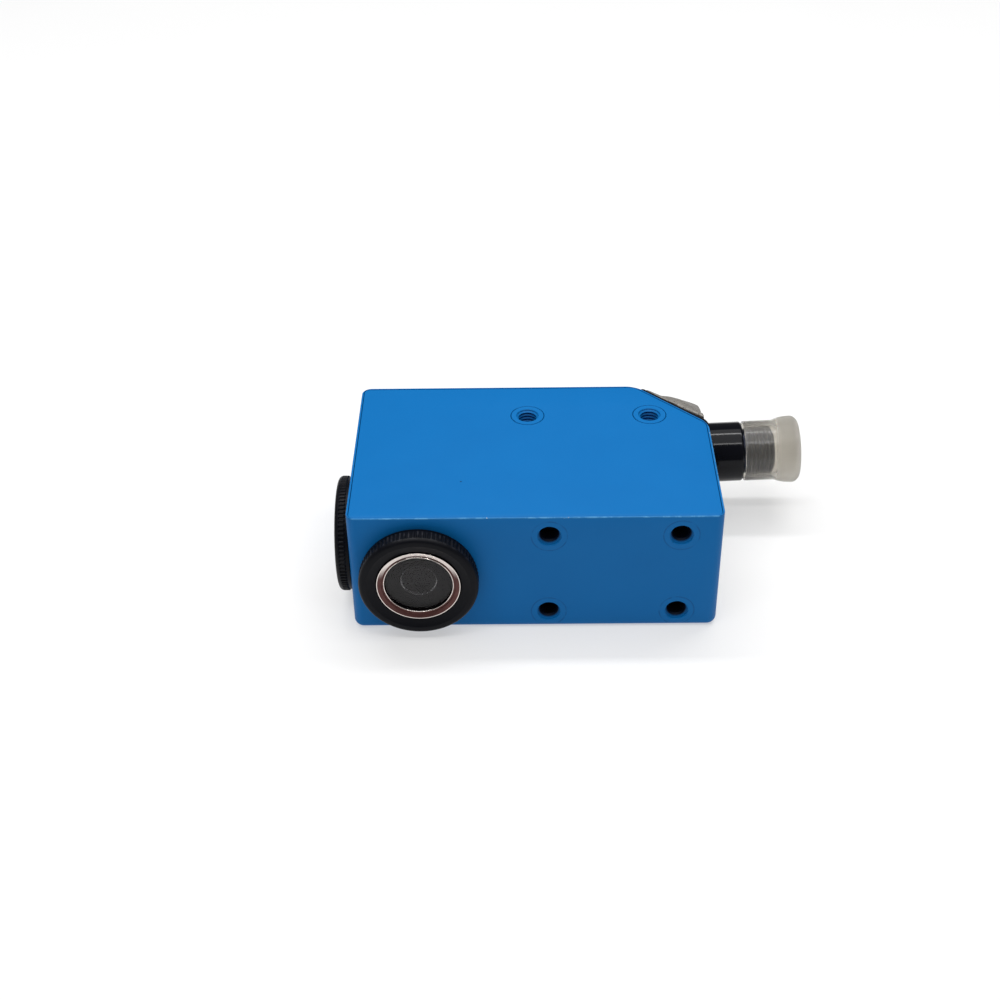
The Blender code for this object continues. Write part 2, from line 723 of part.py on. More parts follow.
def build_panel():
    """Control panel in the right face: bezel, seal, two keys, two light guides, board."""
    outward = (1.0, 0.0, 0.0)
    face = RIGHT - 0.1
    back = RIGHT - PANEL_SEAT + GASKET_GAP + GASKET + GASKET_GAP
    bezel = block(
        "control_panel", PANEL, (back, *PANEL_LOW), (face, *PANEL_HIGH)
    )
    seal = block(
        "panel_gasket", RUBBER,
        (RIGHT - PANEL_SEAT + GASKET_GAP, PANEL_LOW[0] + 0.4, PANEL_LOW[1] + 0.4),
        (RIGHT - PANEL_SEAT + GASKET_GAP + GASKET, PANEL_HIGH[0] - 0.4, PANEL_HIGH[1] - 0.4),
    )
    openings = []
    for side, y in enumerate(PANEL_SCREWS_Y):
        openings.append(
            rod(
                f"cut_bezel_screw_{side}", None, (0, y, MIDDLE), outward,
                back - 3, RIGHT + 2, 1.45, 12,
            )
        )
        openings.append(
            rod(
                f"cut_bezel_sink_{side}", None, (0, y, MIDDLE), outward,
                back + 0.45, RIGHT + 2, PANEL_SINK, 12,
            )
        )
    for index, z in enumerate(KEYS_Z):
        openings.append(
            rod(
                f"cut_bezel_key_{index}", None, (0, KEY_Y, z), outward,
                back - 3, RIGHT + 2, KEY_RADIUS + GAP, 20,
            )
        )
        openings.append(
            rod(
                f"cut_bezel_light_{index}", None, (0, LIGHT_Y, z), outward,
                back - 3, RIGHT + 2, LIGHT_RADIUS + GAP, 12,
            )
        )
    boolean(bezel, "DIFFERENCE", openings)
    window = block(
        "cut_seal_window", None,
        (back - 3.0, WINDOW_LOW[0], WINDOW_LOW[1]), (RIGHT + 2.0, WINDOW_HIGH[0], WINDOW_HIGH[1]),
    )
    seal_holes = [
        rod(
            f"cut_seal_screw_{side}", None, (0, y, MIDDLE), outward, back - 3, RIGHT + 2, 1.45, 12
        )
        for side, y in enumerate(PANEL_SCREWS_Y)
    ]
    boolean(seal, "DIFFERENCE", [window, *seal_holes])

    head = face + 0.7
    for side, y in enumerate(PANEL_SCREWS_Y):
        screw = turned(
            f"panel_screw_{side + 1}", STEEL, (0, y, MIDDLE), outward,
            [
                (0, head), (1.3, head), (1.9, head - 0.4), (1.9, back + 0.75), (0.85, back + 0.75),
                (0.85, RIGHT - PANEL_BOSS_DEPTH + 0.6), (0, RIGHT - PANEL_BOSS_DEPTH + 0.3),
            ],
            12,
        )
        slots = [
            block(
                f"cut_panel_cross_{side}_{turn}", None, (-1.1, -0.22, -0.5), (1.1, 0.22, 0.5),
                matrix=frame_at((head, y, MIDDLE), outward) @ quarter_turns(turn),
            )
            for turn in range(2)
        ]
        boolean(screw, "DIFFERENCE", slots)

    block(
        "control_board", BOARD, (CONTROL_X, WINDOW_LOW[0] + 0.4, 3.6),
        (CONTROL_X + CONTROL_BOARD, WINDOW_HIGH[0] - 0.4, 26.8),
    )
    switch_back = CONTROL_X + CONTROL_BOARD + GAP
    switch_face = switch_back + SWITCH
    plunger = switch_face + KEY_TRAVEL + 0.15 - RIGHT
    flange = back - RIGHT - GAP - 0.05
    for index, (key, z) in enumerate(zip(("teach", "mode"), KEYS_Z)):
        block(
            f"{key}_switch", CHIP,
            (switch_back, KEY_Y - 2.6, z - 2.6), (switch_face, KEY_Y + 2.6, z + 2.6), 0.2,
        )
        button = turned(
            f"{key}_button", KEY, (RIGHT, KEY_Y, z), outward,
            [
                (0, KEY_PROUD), (KEY_RADIUS - 0.5, KEY_PROUD), (KEY_RADIUS, KEY_PROUD - 0.5),
                (KEY_RADIUS, flange), (KEY_RADIUS + 0.7, flange), (KEY_RADIUS + 0.7, flange - 0.5),
                (1.0, flange - 0.5), (1.0, plunger), (0, plunger),
            ],
            20,
        )
        hold(f"{key}_button_axis", (RIGHT, KEY_Y, z), outward, [button])
        turned(
            f"{('output', 'power')[index]}_light_guide", (AMBER, GREEN)[index],
            (0, LIGHT_Y, z), outward,
            [
                (0, face), (LIGHT_RADIUS, face - 0.15), (LIGHT_RADIUS, CONTROL_X + 1.8),
                (0, CONTROL_X + 1.8),
            ],
            12,
        )


def build_plug():
    """Everything that turns on the cut corner, and the fixed plate under it."""
    across, up = PLATE_HALF
    plate = block(
        "swivel_plate", RUBBER, (-across, -up, GAP), (across, up, PLATE_TOP),
        matrix=corner_frame(),
    )
    shaft_hole = rod(
        "cut_plate_hole", None, SWIVEL, DIAGONAL, -1.0, 2.0, SHAFT_RADIUS + 1.3, 20
    )
    boolean(plate, "DIFFERENCE", [shaft_hole])

    clip_low = SHAFT_END + 0.4
    clip_high = SHAFT_END + 1.4
    clip_seat = SHAFT_RADIUS - 0.6
    hood = turned(
        "swivel_elbow", ZINC, SWIVEL, DIAGONAL,
        [
            (0, HOOD_TOP), (HOOD_RADIUS - HOOD_SLOPE * (HOOD_TOP - HOOD_SHOULDER), HOOD_TOP),
            (HOOD_RADIUS - 1.0, HOOD_SHOULDER + 1.5), (HOOD_RADIUS - 0.3, HOOD_SHOULDER + 0.4),
            (HOOD_RADIUS, HOOD_SHOULDER - 0.6), (HOOD_RADIUS, HOOD_BASE),
            (SHAFT_RADIUS, HOOD_BASE), (SHAFT_RADIUS, clip_high), (clip_seat, clip_high),
            (clip_seat, clip_low), (SHAFT_RADIUS, clip_low), (SHAFT_RADIUS, SHAFT_END),
            (0, SHAFT_END),
        ],
        36,
    )
    across, up = HOOD_HALF
    base = block(
        "join_hood_base", None, (-across, -up, HOOD_BASE), (across, up, HOOD_BASE + 1.1),
        matrix=corner_frame(),
    )
    boolean(hood, "UNION", [base])
    plug_axis = Vector((RIGHT, PLUG_Y, MIDDLE))
    limit = block(
        "keep_hood", None, (-30.0, -30.0, -5.0), (RIGHT, BACK, HEIGHT + 5.0), 3.0,
        segments=3,
    )
    boolean(hood, "INTERSECT", [limit])
    shaft_bore = rod("cut_shaft_bore", None, SWIVEL, DIAGONAL, SHAFT_END - 1, 6.0, SHAFT_BORE, 16)
    plug_bore = rod(
        "cut_plug_bore", None, plug_axis, (1, 0, 0), -PLUG_BORE_DEPTH, 1.0, PLUG_BORE, 20
    )
    boolean(hood, "DIFFERENCE", [shaft_bore, plug_bore])
    ring = turned(
        "swivel_o_ring", RUBBER, SWIVEL, DIAGONAL, arc((5.45, 0.65), 0.3, 0, -270, 3), 20, ring=True
    )
    clip = turned(
        "swivel_clip", STEEL, SWIVEL, DIAGONAL,
        [
            (6.6, clip_high - 0.2), (6.6, clip_low + 0.2), (clip_seat + 0.2, clip_low + 0.2),
            (clip_seat + 0.2, clip_high - 0.2),
        ],
        20, ring=True,
    )

    axis = (1.0, 0.0, 0.0)
    origin = (0.0, PLUG_Y, MIDDLE)
    corner = (COLLAR_RADIUS - COLLAR_ROUNDING, COLLAR_END - COLLAR_ROUNDING)
    stub_end = RIGHT - PLUG_BORE_DEPTH + 0.4
    collar = turned(
        "plug_collar", GLOSS, origin, axis,
        [
            (5.3, COLLAR_END), *arc(corner, COLLAR_ROUNDING, 90, 0, 2),
            (COLLAR_RADIUS, RIGHT + GAP), (PLUG_BORE - GAP, RIGHT + GAP),
            (PLUG_BORE - GAP, stub_end), (2.6, stub_end), (2.6, 43.6), (5.3, 43.6),
        ],
        32, ring=True,
    )
    sleeve = turned(
        "thread_sleeve", DARK_STEEL, origin, axis,
        [
            (4.4, THREAD_END), (5.5, THREAD_END), (5.95, THREAD_END - 0.5),
            (5.95, THREAD_START + 0.6), (5.3, THREAD_START + 0.3), (5.3, THREAD_START),
            (5.0, THREAD_START), (5.0, INSERT_START - 0.2), (4.4, INSERT_START - 0.2),
        ],
        32, ring=True,
    )
    insert = rod("pin_insert", BLACK, origin, axis, INSERT_START, INSERT_END, 4.1, 20)
    pin_places = [(0.0, 0.0)]
    pin_places += [
        (PIN_CIRCLE * math.cos(angle), PIN_CIRCLE * math.sin(angle))
        for angle in (math.radians(45 + 90 * quarter) for quarter in range(4))
    ]
    pin_start = INSERT_START - 0.3
    holes = []
    pins = []
    for index, (across, up) in enumerate(pin_places):
        spot = (0.0, PLUG_Y + across, MIDDLE + up)
        holes.append(rod(f"cut_pin_{index}", None, spot, axis, pin_start - 1, 53.0, 0.8, 8))
        pins.append(
            turned(
                f"contact_pin_{index + 1}", GOLD, spot, axis,
                [
                    (0, PIN_END), (0.25, PIN_END - 0.1), (0.5, PIN_END - 0.6), (0.5, pin_start),
                    (0, pin_start),
                ],
                8,
            )
        )
    boolean(insert, "DIFFERENCE", holes)
    cap = turned(
        "dust_cap", MILKY, origin, axis,
        [
            (0, CAP_END), (6.3, CAP_END), *arc((6.3, CAP_END - 1.6), 1.6, 60, 0, 3),
            (7.8, 59.1), (CAP_RADIUS, 57.1), (CAP_RADIUS, CAP_START), (CAP_BORE, CAP_START),
            (CAP_BORE, CAP_END - 1.1), (0, CAP_END - 1.1),
        ],
        32,
    )
    turning = [hood, ring, clip, collar, sleeve, insert, *pins, cap]
    cutters = [base, limit, shaft_bore, plug_bore, *holes]
    swivel = hold("swivel_axis", SWIVEL, DIAGONAL, turning + cutters)
    swivel.matrix_world = swivel.matrix_world @ Matrix.Rotation(math.radians(PLUG_TURN), 4, "Z")


def corner_frame():
    """Axes of the cut corner's face: X along it, Y up and Z out of it."""
    up = Vector((0.0, 0.0, 1.0))
    turn = Matrix((up.cross(DIAGONAL), up, DIAGONAL)).transposed().to_4x4()
    return Matrix.Translation(SWIVEL * MM) @ turn


for old in list(bpy.data.objects):
    bpy.data.objects.remove(old, do_unlink=True)

PARTS = new_collection("photoelectric_sensor", hidden=False)
CUTTERS = new_collection("cutters", hidden=True)

BLUE = finish("blue_paint", (0.018, 0.216, 0.565), 0.42)
BLACK = finish("black_anodised", (0.012, 0.012, 0.014), 0.45)
GLOSS = finish("glossy_black", (0.010, 0.010, 0.012), 0.15)
PANEL = finish("panel_black", (0.020, 0.020, 0.022), 0.5)
KEY = finish("key_grey", (0.16, 0.17, 0.18), 0.6)
RUBBER = finish("seal_rubber", (0.015, 0.015, 0.015), 0.8)
BRIGHT = finish("bright_metal", (0.78, 0.74, 0.72), 0.18, 1.0)
STEEL = finish("screw_steel", (0.55, 0.55, 0.56), 0.3, 1.0)
DARK_STEEL = finish("thread_metal", (0.20, 0.21, 0.24), 0.35, 1.0)
ZINC = finish("bare_zinc", (0.29, 0.27, 0.24), 0.55, 0.9)
GLASS = finish("lens_glass", (0.06, 0.06, 0.07), 0.05, alpha=0.35)
BOARD = finish("board_green", (0.02, 0.13, 0.05), 0.5)
CHIP = finish("chip_black", (0.02, 0.02, 0.02), 0.55)
RESIN = finish("resin_white", (0.72, 0.71, 0.66), 0.4)
SHEATH = finish("lead_sheath", (0.03, 0.03, 0.03), 0.6)
GOLD = finish("pin_gold", (0.83, 0.62, 0.22), 0.25, 1.0)
AMBER = finish("amber_guide", (0.85, 0.42, 0.05), 0.2)
GREEN = finish("green_guide", (0.08, 0.55, 0.14), 0.2)
MILKY = finish("milky_cap", (0.62, 0.60, 0.56), 0.4, alpha=0.55)

build_housing()
build_lid()
build_lens()
build_blind_cap()
build_optics()
build_boards()
build_leads()
build_panel()
build_plug()
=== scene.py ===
"""Looks of a photoelectric contrast sensor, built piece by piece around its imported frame."""

import math

import bmesh
import bpy
from mathutils import Matrix, Vector


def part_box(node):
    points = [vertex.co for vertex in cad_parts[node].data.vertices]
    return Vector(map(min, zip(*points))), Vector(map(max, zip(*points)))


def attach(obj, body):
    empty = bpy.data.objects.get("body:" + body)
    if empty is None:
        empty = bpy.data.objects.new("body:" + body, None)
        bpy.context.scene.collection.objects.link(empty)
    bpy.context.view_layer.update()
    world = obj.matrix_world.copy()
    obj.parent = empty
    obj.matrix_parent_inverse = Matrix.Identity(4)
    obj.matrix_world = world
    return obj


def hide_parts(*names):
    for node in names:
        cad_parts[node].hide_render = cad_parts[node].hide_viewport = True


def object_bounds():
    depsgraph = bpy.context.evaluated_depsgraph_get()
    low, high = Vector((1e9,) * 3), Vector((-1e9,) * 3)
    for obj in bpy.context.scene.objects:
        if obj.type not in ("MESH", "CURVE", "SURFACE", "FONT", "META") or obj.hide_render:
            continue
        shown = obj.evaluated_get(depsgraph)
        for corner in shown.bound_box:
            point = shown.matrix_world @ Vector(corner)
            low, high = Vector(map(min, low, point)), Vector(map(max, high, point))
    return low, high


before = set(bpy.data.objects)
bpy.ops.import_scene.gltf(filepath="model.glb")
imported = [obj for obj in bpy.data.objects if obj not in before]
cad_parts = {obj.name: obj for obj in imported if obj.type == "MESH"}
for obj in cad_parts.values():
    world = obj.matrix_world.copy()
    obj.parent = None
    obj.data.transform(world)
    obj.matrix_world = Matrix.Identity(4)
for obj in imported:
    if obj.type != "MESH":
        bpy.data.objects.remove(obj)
cad_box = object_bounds()

# ---------------------------------------------------------------------------------------------
# Housing. A zinc die-cast pot, powder-coated blue, with one cut corner for the plug, two screw
# ports, four tapped holes in the lens face and two tapped bosses that reach up through the cover.
# ---------------------------------------------------------------------------------------------
MM = 0.001
case_low, case_high = (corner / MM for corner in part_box("housing_body"))
left, front, _ = case_low
right, back, height = case_high
middle = height / 2
corner_cut = 15.7
out_of_corner = Vector((1.0, 1.0, 0.0)).normalized()
out_of_front, out_of_left, out_of_right, upward = (0, -1, 0), (-1, 0, 0), (1, 0, 0), (0, 0, 1)
swivel_centre = Vector((right - corner_cut / 2, back - corner_cut / 2, middle))
port_inset = 15.0
lens_centre = Vector((left + port_inset, front, middle))
blind_centre = Vector((left, front + port_inset, middle))
ports = ((lens_centre, out_of_front), (blind_centre, out_of_left))
top_boss_y = 13.4
top_boss_x = (-1.2, 26.8)
front_hole_x = (3.0, 31.0)
front_hole_z = (4.6, 25.4)
wall, floor_top, ledge = 2.2, 2.2, 28.3
upright_rounding, foot_rounding, brow_rounding = 2.2, 1.6, 0.22
rim_width, front_rim = 0.45, 0.4
front_boss, front_boss_end = 3.9, 6.8
top_boss, top_boss_end = 3.74, 6.8
port_boss, port_bore = 12.4, 10.35
swivel_bore = 5.05
panel_gap = 0.12


def take(piece):
    """Make one object the only selected and active one."""
    bpy.ops.object.select_all(action="DESELECT")
    piece.select_set(True)
    bpy.context.view_layer.objects.active = piece
    return piece


def choose(piece, kind, wanted):
    """In edit mode, select just the verts or edges that pass the test."""
    bpy.ops.mesh.select_mode(type={"verts": "VERT", "edges": "EDGE"}[kind])
    bpy.ops.mesh.select_all(action="DESELECT")
    shape = bmesh.from_edit_mesh(piece.data)
    for item in getattr(shape, kind):
        if wanted(item):
            item.select_set(True)
    shape.select_flush_mode()
    bmesh.update_edit_mesh(piece.data)


def cube(name, low, high, rounding=0.0, segments=3):
    """A box between two corners, every edge bevelled where a rounding is given."""
    bpy.ops.object.select_all(action="DESELECT")
    low, high = Vector(low) * MM, Vector(high) * MM
    bpy.ops.mesh.primitive_cube_add(size=1.0, location=(low + high) / 2, scale=high - low)
    piece = bpy.context.active_object
    piece.name = name
    bpy.ops.object.transform_apply(location=True, rotation=True, scale=True)
    if rounding:
        bpy.ops.object.mode_set(mode="EDIT")
        bpy.ops.mesh.select_all(action="SELECT")
        bpy.ops.mesh.bevel(offset=rounding * MM, segments=segments, affect="EDGES")
        bpy.ops.object.mode_set(mode="OBJECT")
    return piece


def turn_up(name, profile, segments=96, ring=False):
    """A piece turned about Z, drawn out ring by ring along (radius, height) pairs."""
    bpy.ops.object.select_all(action="DESELECT")
    radius, start = profile[0]
    bpy.ops.mesh.primitive_circle_add(
        vertices=segments, radius=radius * MM, location=(0, 0, start * MM), fill_type="NOTHING"
    )
    piece = bpy.context.active_object
    piece.name = name
    bpy.ops.object.transform_apply(location=True, rotation=True, scale=True)
    bpy.ops.object.mode_set(mode="EDIT")
    bpy.ops.mesh.select_all(action="SELECT")
    for (was, below), (now, above) in zip(profile, profile[1:]):
        rise = (0, 0, (above - below) * MM)
        bpy.ops.mesh.extrude_edges_move(TRANSFORM_OT_translate={"value": rise})
        bpy.ops.transform.resize(
            value=(now / was, now / was, 1), center_override=(0, 0, above * MM)
        )
    bpy.ops.mesh.select_all(action="DESELECT")
    bpy.ops.mesh.select_mode(type="EDGE")
    bpy.ops.mesh.select_non_manifold()
    if ring:
        bpy.ops.mesh.bridge_edge_loops()
    else:
        bpy.ops.mesh.fill_holes(sides=0)
    bpy.ops.mesh.select_all(action="SELECT")
    bpy.ops.mesh.normals_make_consistent(inside=False)
    bpy.ops.object.mode_set(mode="OBJECT")
    return piece


def settle(piece, matrix):
    """Move a piece by a matrix, and fix it there with its object back at the origin."""
    piece.matrix_world = matrix
    take(piece)
    bpy.ops.object.transform_apply(location=True, rotation=True, scale=True)
    return piece


def aim(piece, point, direction):
    """Stand a piece that was made about Z at a point, along a direction."""
    turn = Vector(direction).to_track_quat("Z", "Y").to_matrix().to_4x4()
    return settle(piece, Matrix.Translation(Vector(point) * MM) @ turn)


def combine(piece, operation, others):
    """Apply one Boolean after another, and remove what was used."""
    for other in others:
        modifier = piece.modifiers.new("Combine", "BOOLEAN")
        modifier.operation = operation
        modifier.object = other
        take(piece)
        bpy.ops.object.modifier_apply(modifier=modifier.name)
        bpy.data.objects.remove(other)
    return piece


def soften(piece, angle=32.0):
    """Smooth shading that keeps the true edges crisp."""
    take(piece)
    bpy.ops.object.shade_smooth_by_angle(angle=math.radians(angle))
    return piece


def arc(radius_at, height_at, radius, start, end, count=6):
    """Points of a turned profile on an arc, angles in degrees from the radial direction."""
    steps = (math.radians(start + (end - start) * step / count) for step in range(count + 1))
    return [(radius_at + radius * math.cos(a), height_at + radius * math.sin(a)) for a in steps]


def case_slab(name, inset, bottom, top, corner, front_inset=None, foot=0.0, brow=0.0):
    """A slab with the housing's outline drawn in, its corner cut and its edges rounded."""
    front_inset = inset if front_inset is None else front_inset
    slab = cube(
        name, (left + inset, front + front_inset, bottom), (right - inset, back - inset, top)
    )
    bpy.ops.object.mode_set(mode="EDIT")
    bpy.ops.mesh.select_all(action="SELECT")
    bpy.ops.mesh.bisect(
        plane_co=(swivel_centre - out_of_corner * inset) * MM,
        plane_no=out_of_corner,
        use_fill=True,
        clear_outer=True,
        threshold=1e-6,
    )
    level = 0.01 * MM
    choose(slab, "edges", lambda e: abs(e.verts[0].co.z - e.verts[1].co.z) > level)
    bpy.ops.mesh.bevel(offset=corner * MM, segments=8, affect="EDGES")
    if foot:
        choose(slab, "edges", lambda e: max(v.co.z for v in e.verts) < bottom * MM + level)
        bpy.ops.mesh.bevel(offset=foot * MM, segments=6, affect="EDGES")
    if brow:
        choose(slab, "edges", lambda e: min(v.co.z for v in e.verts) > top * MM - level)
        bpy.ops.mesh.bevel(offset=brow * MM, segments=3, affect="EDGES")
    bpy.ops.object.mode_set(mode="OBJECT")
    return slab


def tapped_hole(name, point, direction, start=0.3, depth=5.3):
    """Cutter for an M5 thread: a plain mouth, then a groove for every pitch."""
    pitch, crest, root = 0.8, 2.1, 2.48
    profile = [(root + 0.14, 1.0), (root + 0.14, 0.0), (root, -0.14), (root, -start)]
    for turn in range(int((depth - start) / pitch)):
        top = -start - turn * pitch
        profile += [(crest, top - 0.3), (crest, top - 0.42), (root, top - 0.7)]
    profile += [(crest, -depth), (0.3, -depth - 0.9)]
    return aim(turn_up(name, profile, 48), point, direction)


housing = case_slab(
    "housing_shell", 0.0, 0.0, height, upright_rounding, foot=foot_rounding, brow=brow_rounding
)
hollow = case_slab("hollow", wall, floor_top, height + 1.0, 1.2)
recess = case_slab("recess", rim_width, ledge, height + 1.0, 1.3, front_inset=front_rim)
combine(housing, "DIFFERENCE", [hollow, recess])

bosses = []
for x in front_hole_x:
    for z in front_hole_z:
        boss = turn_up(
            "boss",
            [
                (front_boss, 0.5 - wall), (front_boss, 0.5 - front_boss_end),
                (front_boss - 0.5, -front_boss_end),
            ],
            48,
        )
        bosses.append(aim(boss, (x, front, z), out_of_front))
for x in top_boss_x:
    boss = turn_up(
        "boss",
        [
            (top_boss - 0.08, 0.0), (top_boss, -0.1), (top_boss, 0.5 - top_boss_end),
            (top_boss - 0.44, -top_boss_end),
        ],
        64,
    )
    bosses.append(aim(boss, (x, top_boss_y, height), upward))
web_low = (top_boss_x[0] - 2.5, top_boss_y, height - top_boss_end)
bosses.append(cube("web", web_low, (top_boss_x[0] + 2.5, back - wall / 2, ledge)))
bosses.append(aim(cube("web", (-2.5, 8.4, -7.0), (2.5, 13.1, -1.1)), swivel_centre, out_of_corner))
for centre, outward in ports:
    port = turn_up("port", [(port_boss, 0.5 - wall), (port_boss, -5.0), (port_boss - 0.5, -5.5)], 96)
    bosses.append(aim(port, centre, outward))
combine(housing, "UNION", bosses)

bores = []
for centre, outward in ports:
    mouth = port_bore + 0.35
    bore = turn_up("bore", [(mouth, 1.0), (mouth, 0.0), (port_bore, -0.35), (port_bore, -7.0)], 128)
    bores.append(aim(bore, centre, outward))
bore = turn_up("bore", [(swivel_bore, 2.0), (swivel_bore, -4.0)], 64)
bores.append(aim(bore, swivel_centre, out_of_corner))
for x in front_hole_x:
    for z in front_hole_z:
        bores.append(tapped_hole("thread", (x, front, z), out_of_front, start=0.6))
for x in top_boss_x:
    bores.append(tapped_hole("thread", (x, top_boss_y, height), upward))
cover_screws = [f"cover_screw_{number}" for number in (1, 2, 3, 4)]
screw_spots = []
for node in cover_screws:
    low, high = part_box(node)
    screw_spots.append(((low.x + high.x) / 2 / MM, (low.y + high.y) / 2 / MM))
for x, y in screw_spots:
    seat = turn_up("seat", [(2.6, 1.0), (2.6, -0.6), (1.4, -1.8), (1.4, -3.0)], 48)
    bores.append(aim(seat, (x, y, 0.0), (0, 0, -1)))
panel_low, panel_high = (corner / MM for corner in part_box("control_panel"))
bores.append(
    cube(
        "panel_seat",
        (right - 1.6, panel_low.y - panel_gap, panel_low.z - panel_gap),
        (right + 1.0, panel_high.y + panel_gap, panel_high.z + panel_gap),
    )
)
bores.append(cube("panel_window", (right - 3.2, -16.4, 5.6), (right + 1.0, 0.8, 24.8)))
combine(housing, "DIFFERENCE", bores)
soften(housing)


class Wire:
    """An output socket in a material's node tree; arithmetic on it adds the Math node."""

    def __init__(self, tree, socket=None):
        self.tree = tree
        self.socket = socket

    def node(self, kind, settings=None, feeds=None, out=0):
        """Add a node: its settings first, then a value or a wire for each named socket."""
        made = self.tree.nodes.new(kind)
        for name, value in (settings or {}).items():
            setattr(made, name, value)
        for name, value in (feeds or {}).items():
            if isinstance(value, Wire):
                self.tree.links.new(value.socket, made.inputs[name])
            else:
                made.inputs[name].default_value = value
        return Wire(self.tree, made.outputs[out])

    def math(self, operation, *others):
        feeds = {index + 1: other for index, other in enumerate(others)}
        return self.node("ShaderNodeMath", {"operation": operation}, {0: self, **feeds})

    def __add__(self, other):
        return self.math("ADD", other)

    def __sub__(self, other):
        return self.math("SUBTRACT", other)

    def __rsub__(self, other):
        return self.math("MULTIPLY_ADD", -1.0, other)

    def __mul__(self, other):
        return self.math("MULTIPLY", other)

    __radd__ = __add__
    __rmul__ = __mul__

    def band(self, low, high, start=0.0, end=1.0):
        """Rise smoothly from start to end as the value goes from low to high."""
        feeds = {"Value": self, 1: low, 2: high, 3: start, 4: end}
        return self.node("ShaderNodeMapRange", {"interpolation_type": "SMOOTHSTEP"}, feeds)

    def between(self, first, second):
        """Mix two colours, with this wire as the factor."""
        feeds = {0: self, 6: first, 7: second}
        return self.node("ShaderNodeMix", {"data_type": "RGBA"}, feeds, out=2)

    def axes(self):
        """The X, Y and Z parts of a vector."""
        split = self.node("ShaderNodeSeparateXYZ", None, {0: self}).socket.node
        return [Wire(self.tree, output) for output in split.outputs]

    def noise(self, size, detail=2.0, rough=0.5, seed=0.0):
        """Noise whose grains are about this many millimetres across."""
        feeds = {"Vector": self, "W": seed, "Scale": 1.0 / (size * MM), "Detail": detail}
        feeds["Roughness"] = rough
        return self.node("ShaderNodeTexNoise", {"noise_dimensions": "4D"}, feeds)


def finish(name, **constants):
    """A new material: its Principled shader, with constants on its sockets, and its place."""
    material = bpy.data.materials.new(name)
    material.use_nodes = True
    shader = material.node_tree.nodes["Principled BSDF"]
    for socket, value in constants.items():
        shader.inputs[socket.replace("_", " ").title().replace("Ior", "IOR")].default_value = value
    place = Wire(material.node_tree).node("ShaderNodeTexCoord").socket.node.outputs["Object"]
    return material, shader, Wire(material.node_tree, place)


def connect(shader, **wires):
    """Feed the shader's varying sockets; height goes through a Bump node, in millimetres."""
    for name, wire in wires.items():
        if name == "height":
            bump = wire.node(
                "ShaderNodeBump", None, {"Height": wire, "Strength": 1.0, "Distance": MM}
            )
            name, wire = "normal", bump
        wire.tree.links.new(wire.socket, shader.inputs[name.replace("_", " ").title()])


def colour(red, green, blue):
    """A colour given as it looks, 0 to 255, as the shader's linear values."""
    parts = (channel / 255 for channel in (red, green, blue))
    return (*(p / 12.92 if p < 0.04045 else ((p + 0.055) / 1.055) ** 2.4 for p in parts), 1.0)


def dress(piece, material, body, slot, *nodes):
    """Give a finished piece its material, its body and the nodes it stands for; the slot is not used.
    """
    piece.data.materials.clear()
    piece.data.materials.append(material)
    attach(piece, body)
    if nodes:
        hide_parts(*nodes)


def near_edge(first, first_at, second, second_at, reach):
    """1 on the line where two box faces meet, falling to 0 at this many millimetres from it."""
    across = (first - first_at * MM).math("ABSOLUTE")
    along = (second - second_at * MM).math("ABSOLUTE")
    return across.math("MAXIMUM", along).band(reach * MM, reach * 0.35 * MM)


def powder_coat(name):
    """Blue powder coat: orange peel, faint mottling, chips and rubs along the upper rim over a painted
    highlight line along it, faint ring marks round the front holes, and painted shade inside these."""
    material, shader, place = finish(name, ior=1.5, specular_ior_level=0.1)
    x, y, z = place.axes()
    base = place.noise(11.0, 2.0).between(colour(10, 101, 167), colour(13, 106, 173))
    dust = place.noise(0.5, 2.0, 0.6, seed=4.0).band(0.735, 0.78)
    base = (dust * 0.3).between(base, colour(10, 66, 122))
    speck_at = Vector((-15.9, -12.3, height)) * MM
    speck = place.node(
        "ShaderNodeVectorMath", {"operation": "DISTANCE"}, {0: place, 1: speck_at}, out=1
    )
    base = speck.band(0.28 * MM, 0.12 * MM).between(base, colour(14, 44, 78))
    rub = place.noise(2.6, 4.0, 0.65, seed=2.0)
    rim = near_edge(y, front, z, height, 0.34).math(
        "MAXIMUM", near_edge(x, right, z, height, 0.3) * 0.7
    )
    # Painted highlight: a light blue line runs along the whole upper rim, with real chips on top of it.
    chips_and_edge_highlight = (rim * rub.band(0.42, 0.60) * 0.8).math("MAXIMUM", rim * 0.3)
    base = chips_and_edge_highlight.between(base, colour(88, 158, 206))
    bare = rim * place.noise(1.3, 3.0, 0.6, seed=7.0).band(0.63, 0.70)
    base = bare.between(base, colour(186, 200, 208))
    behind_front = y - front * MM
    half_x, half_z = ((high - low) / 2 for low, high in (front_hole_x, front_hole_z))
    from_hole_x = (x - (front_hole_x[0] + half_x) * MM).math("ABSOLUTE") - half_x * MM
    from_hole_z = (z - (front_hole_z[0] + half_z) * MM).math("ABSOLUTE") - half_z * MM
    from_hole = (from_hole_x * from_hole_x + from_hole_z * from_hole_z).math("SQRT")
    mark = from_hole.band(3.6 * MM, 3.8 * MM) * from_hole.band(4.05 * MM, 3.85 * MM)
    mark = mark * behind_front.band(0.1 * MM, 0.0) * place.noise(2.0, 2.0, seed=6.0).band(0.3, 0.6)
    base = (mark * 0.5).between(base, colour(8, 66, 118))
    # Painted shade: from about 1 mm in, the front holes are coloured dark navy.
    painted_hole_shade = from_hole.band(2.8 * MM, 2.6 * MM) * behind_front.band(0.6 * MM, 1.0 * MM)
    painted_hole_shade = painted_hole_shade * behind_front.band(8.0 * MM, 7.0 * MM)
    base = painted_hole_shade.between(base, colour(16, 30, 52))
    peel = place.noise(0.9, 3.0, 0.55, seed=1.0) * 0.010 - mark * 0.02
    connect(
        shader,
        base_color=base,
        roughness=place.noise(3.0, 3.0, seed=3.0) * 0.12 + 0.38,
        height=peel - bare * 0.05,
    )
    return material


blue_coat = powder_coat("housing_powder_coat")
dress(housing, blue_coat, "housing", "blue_paint", "housing_body")

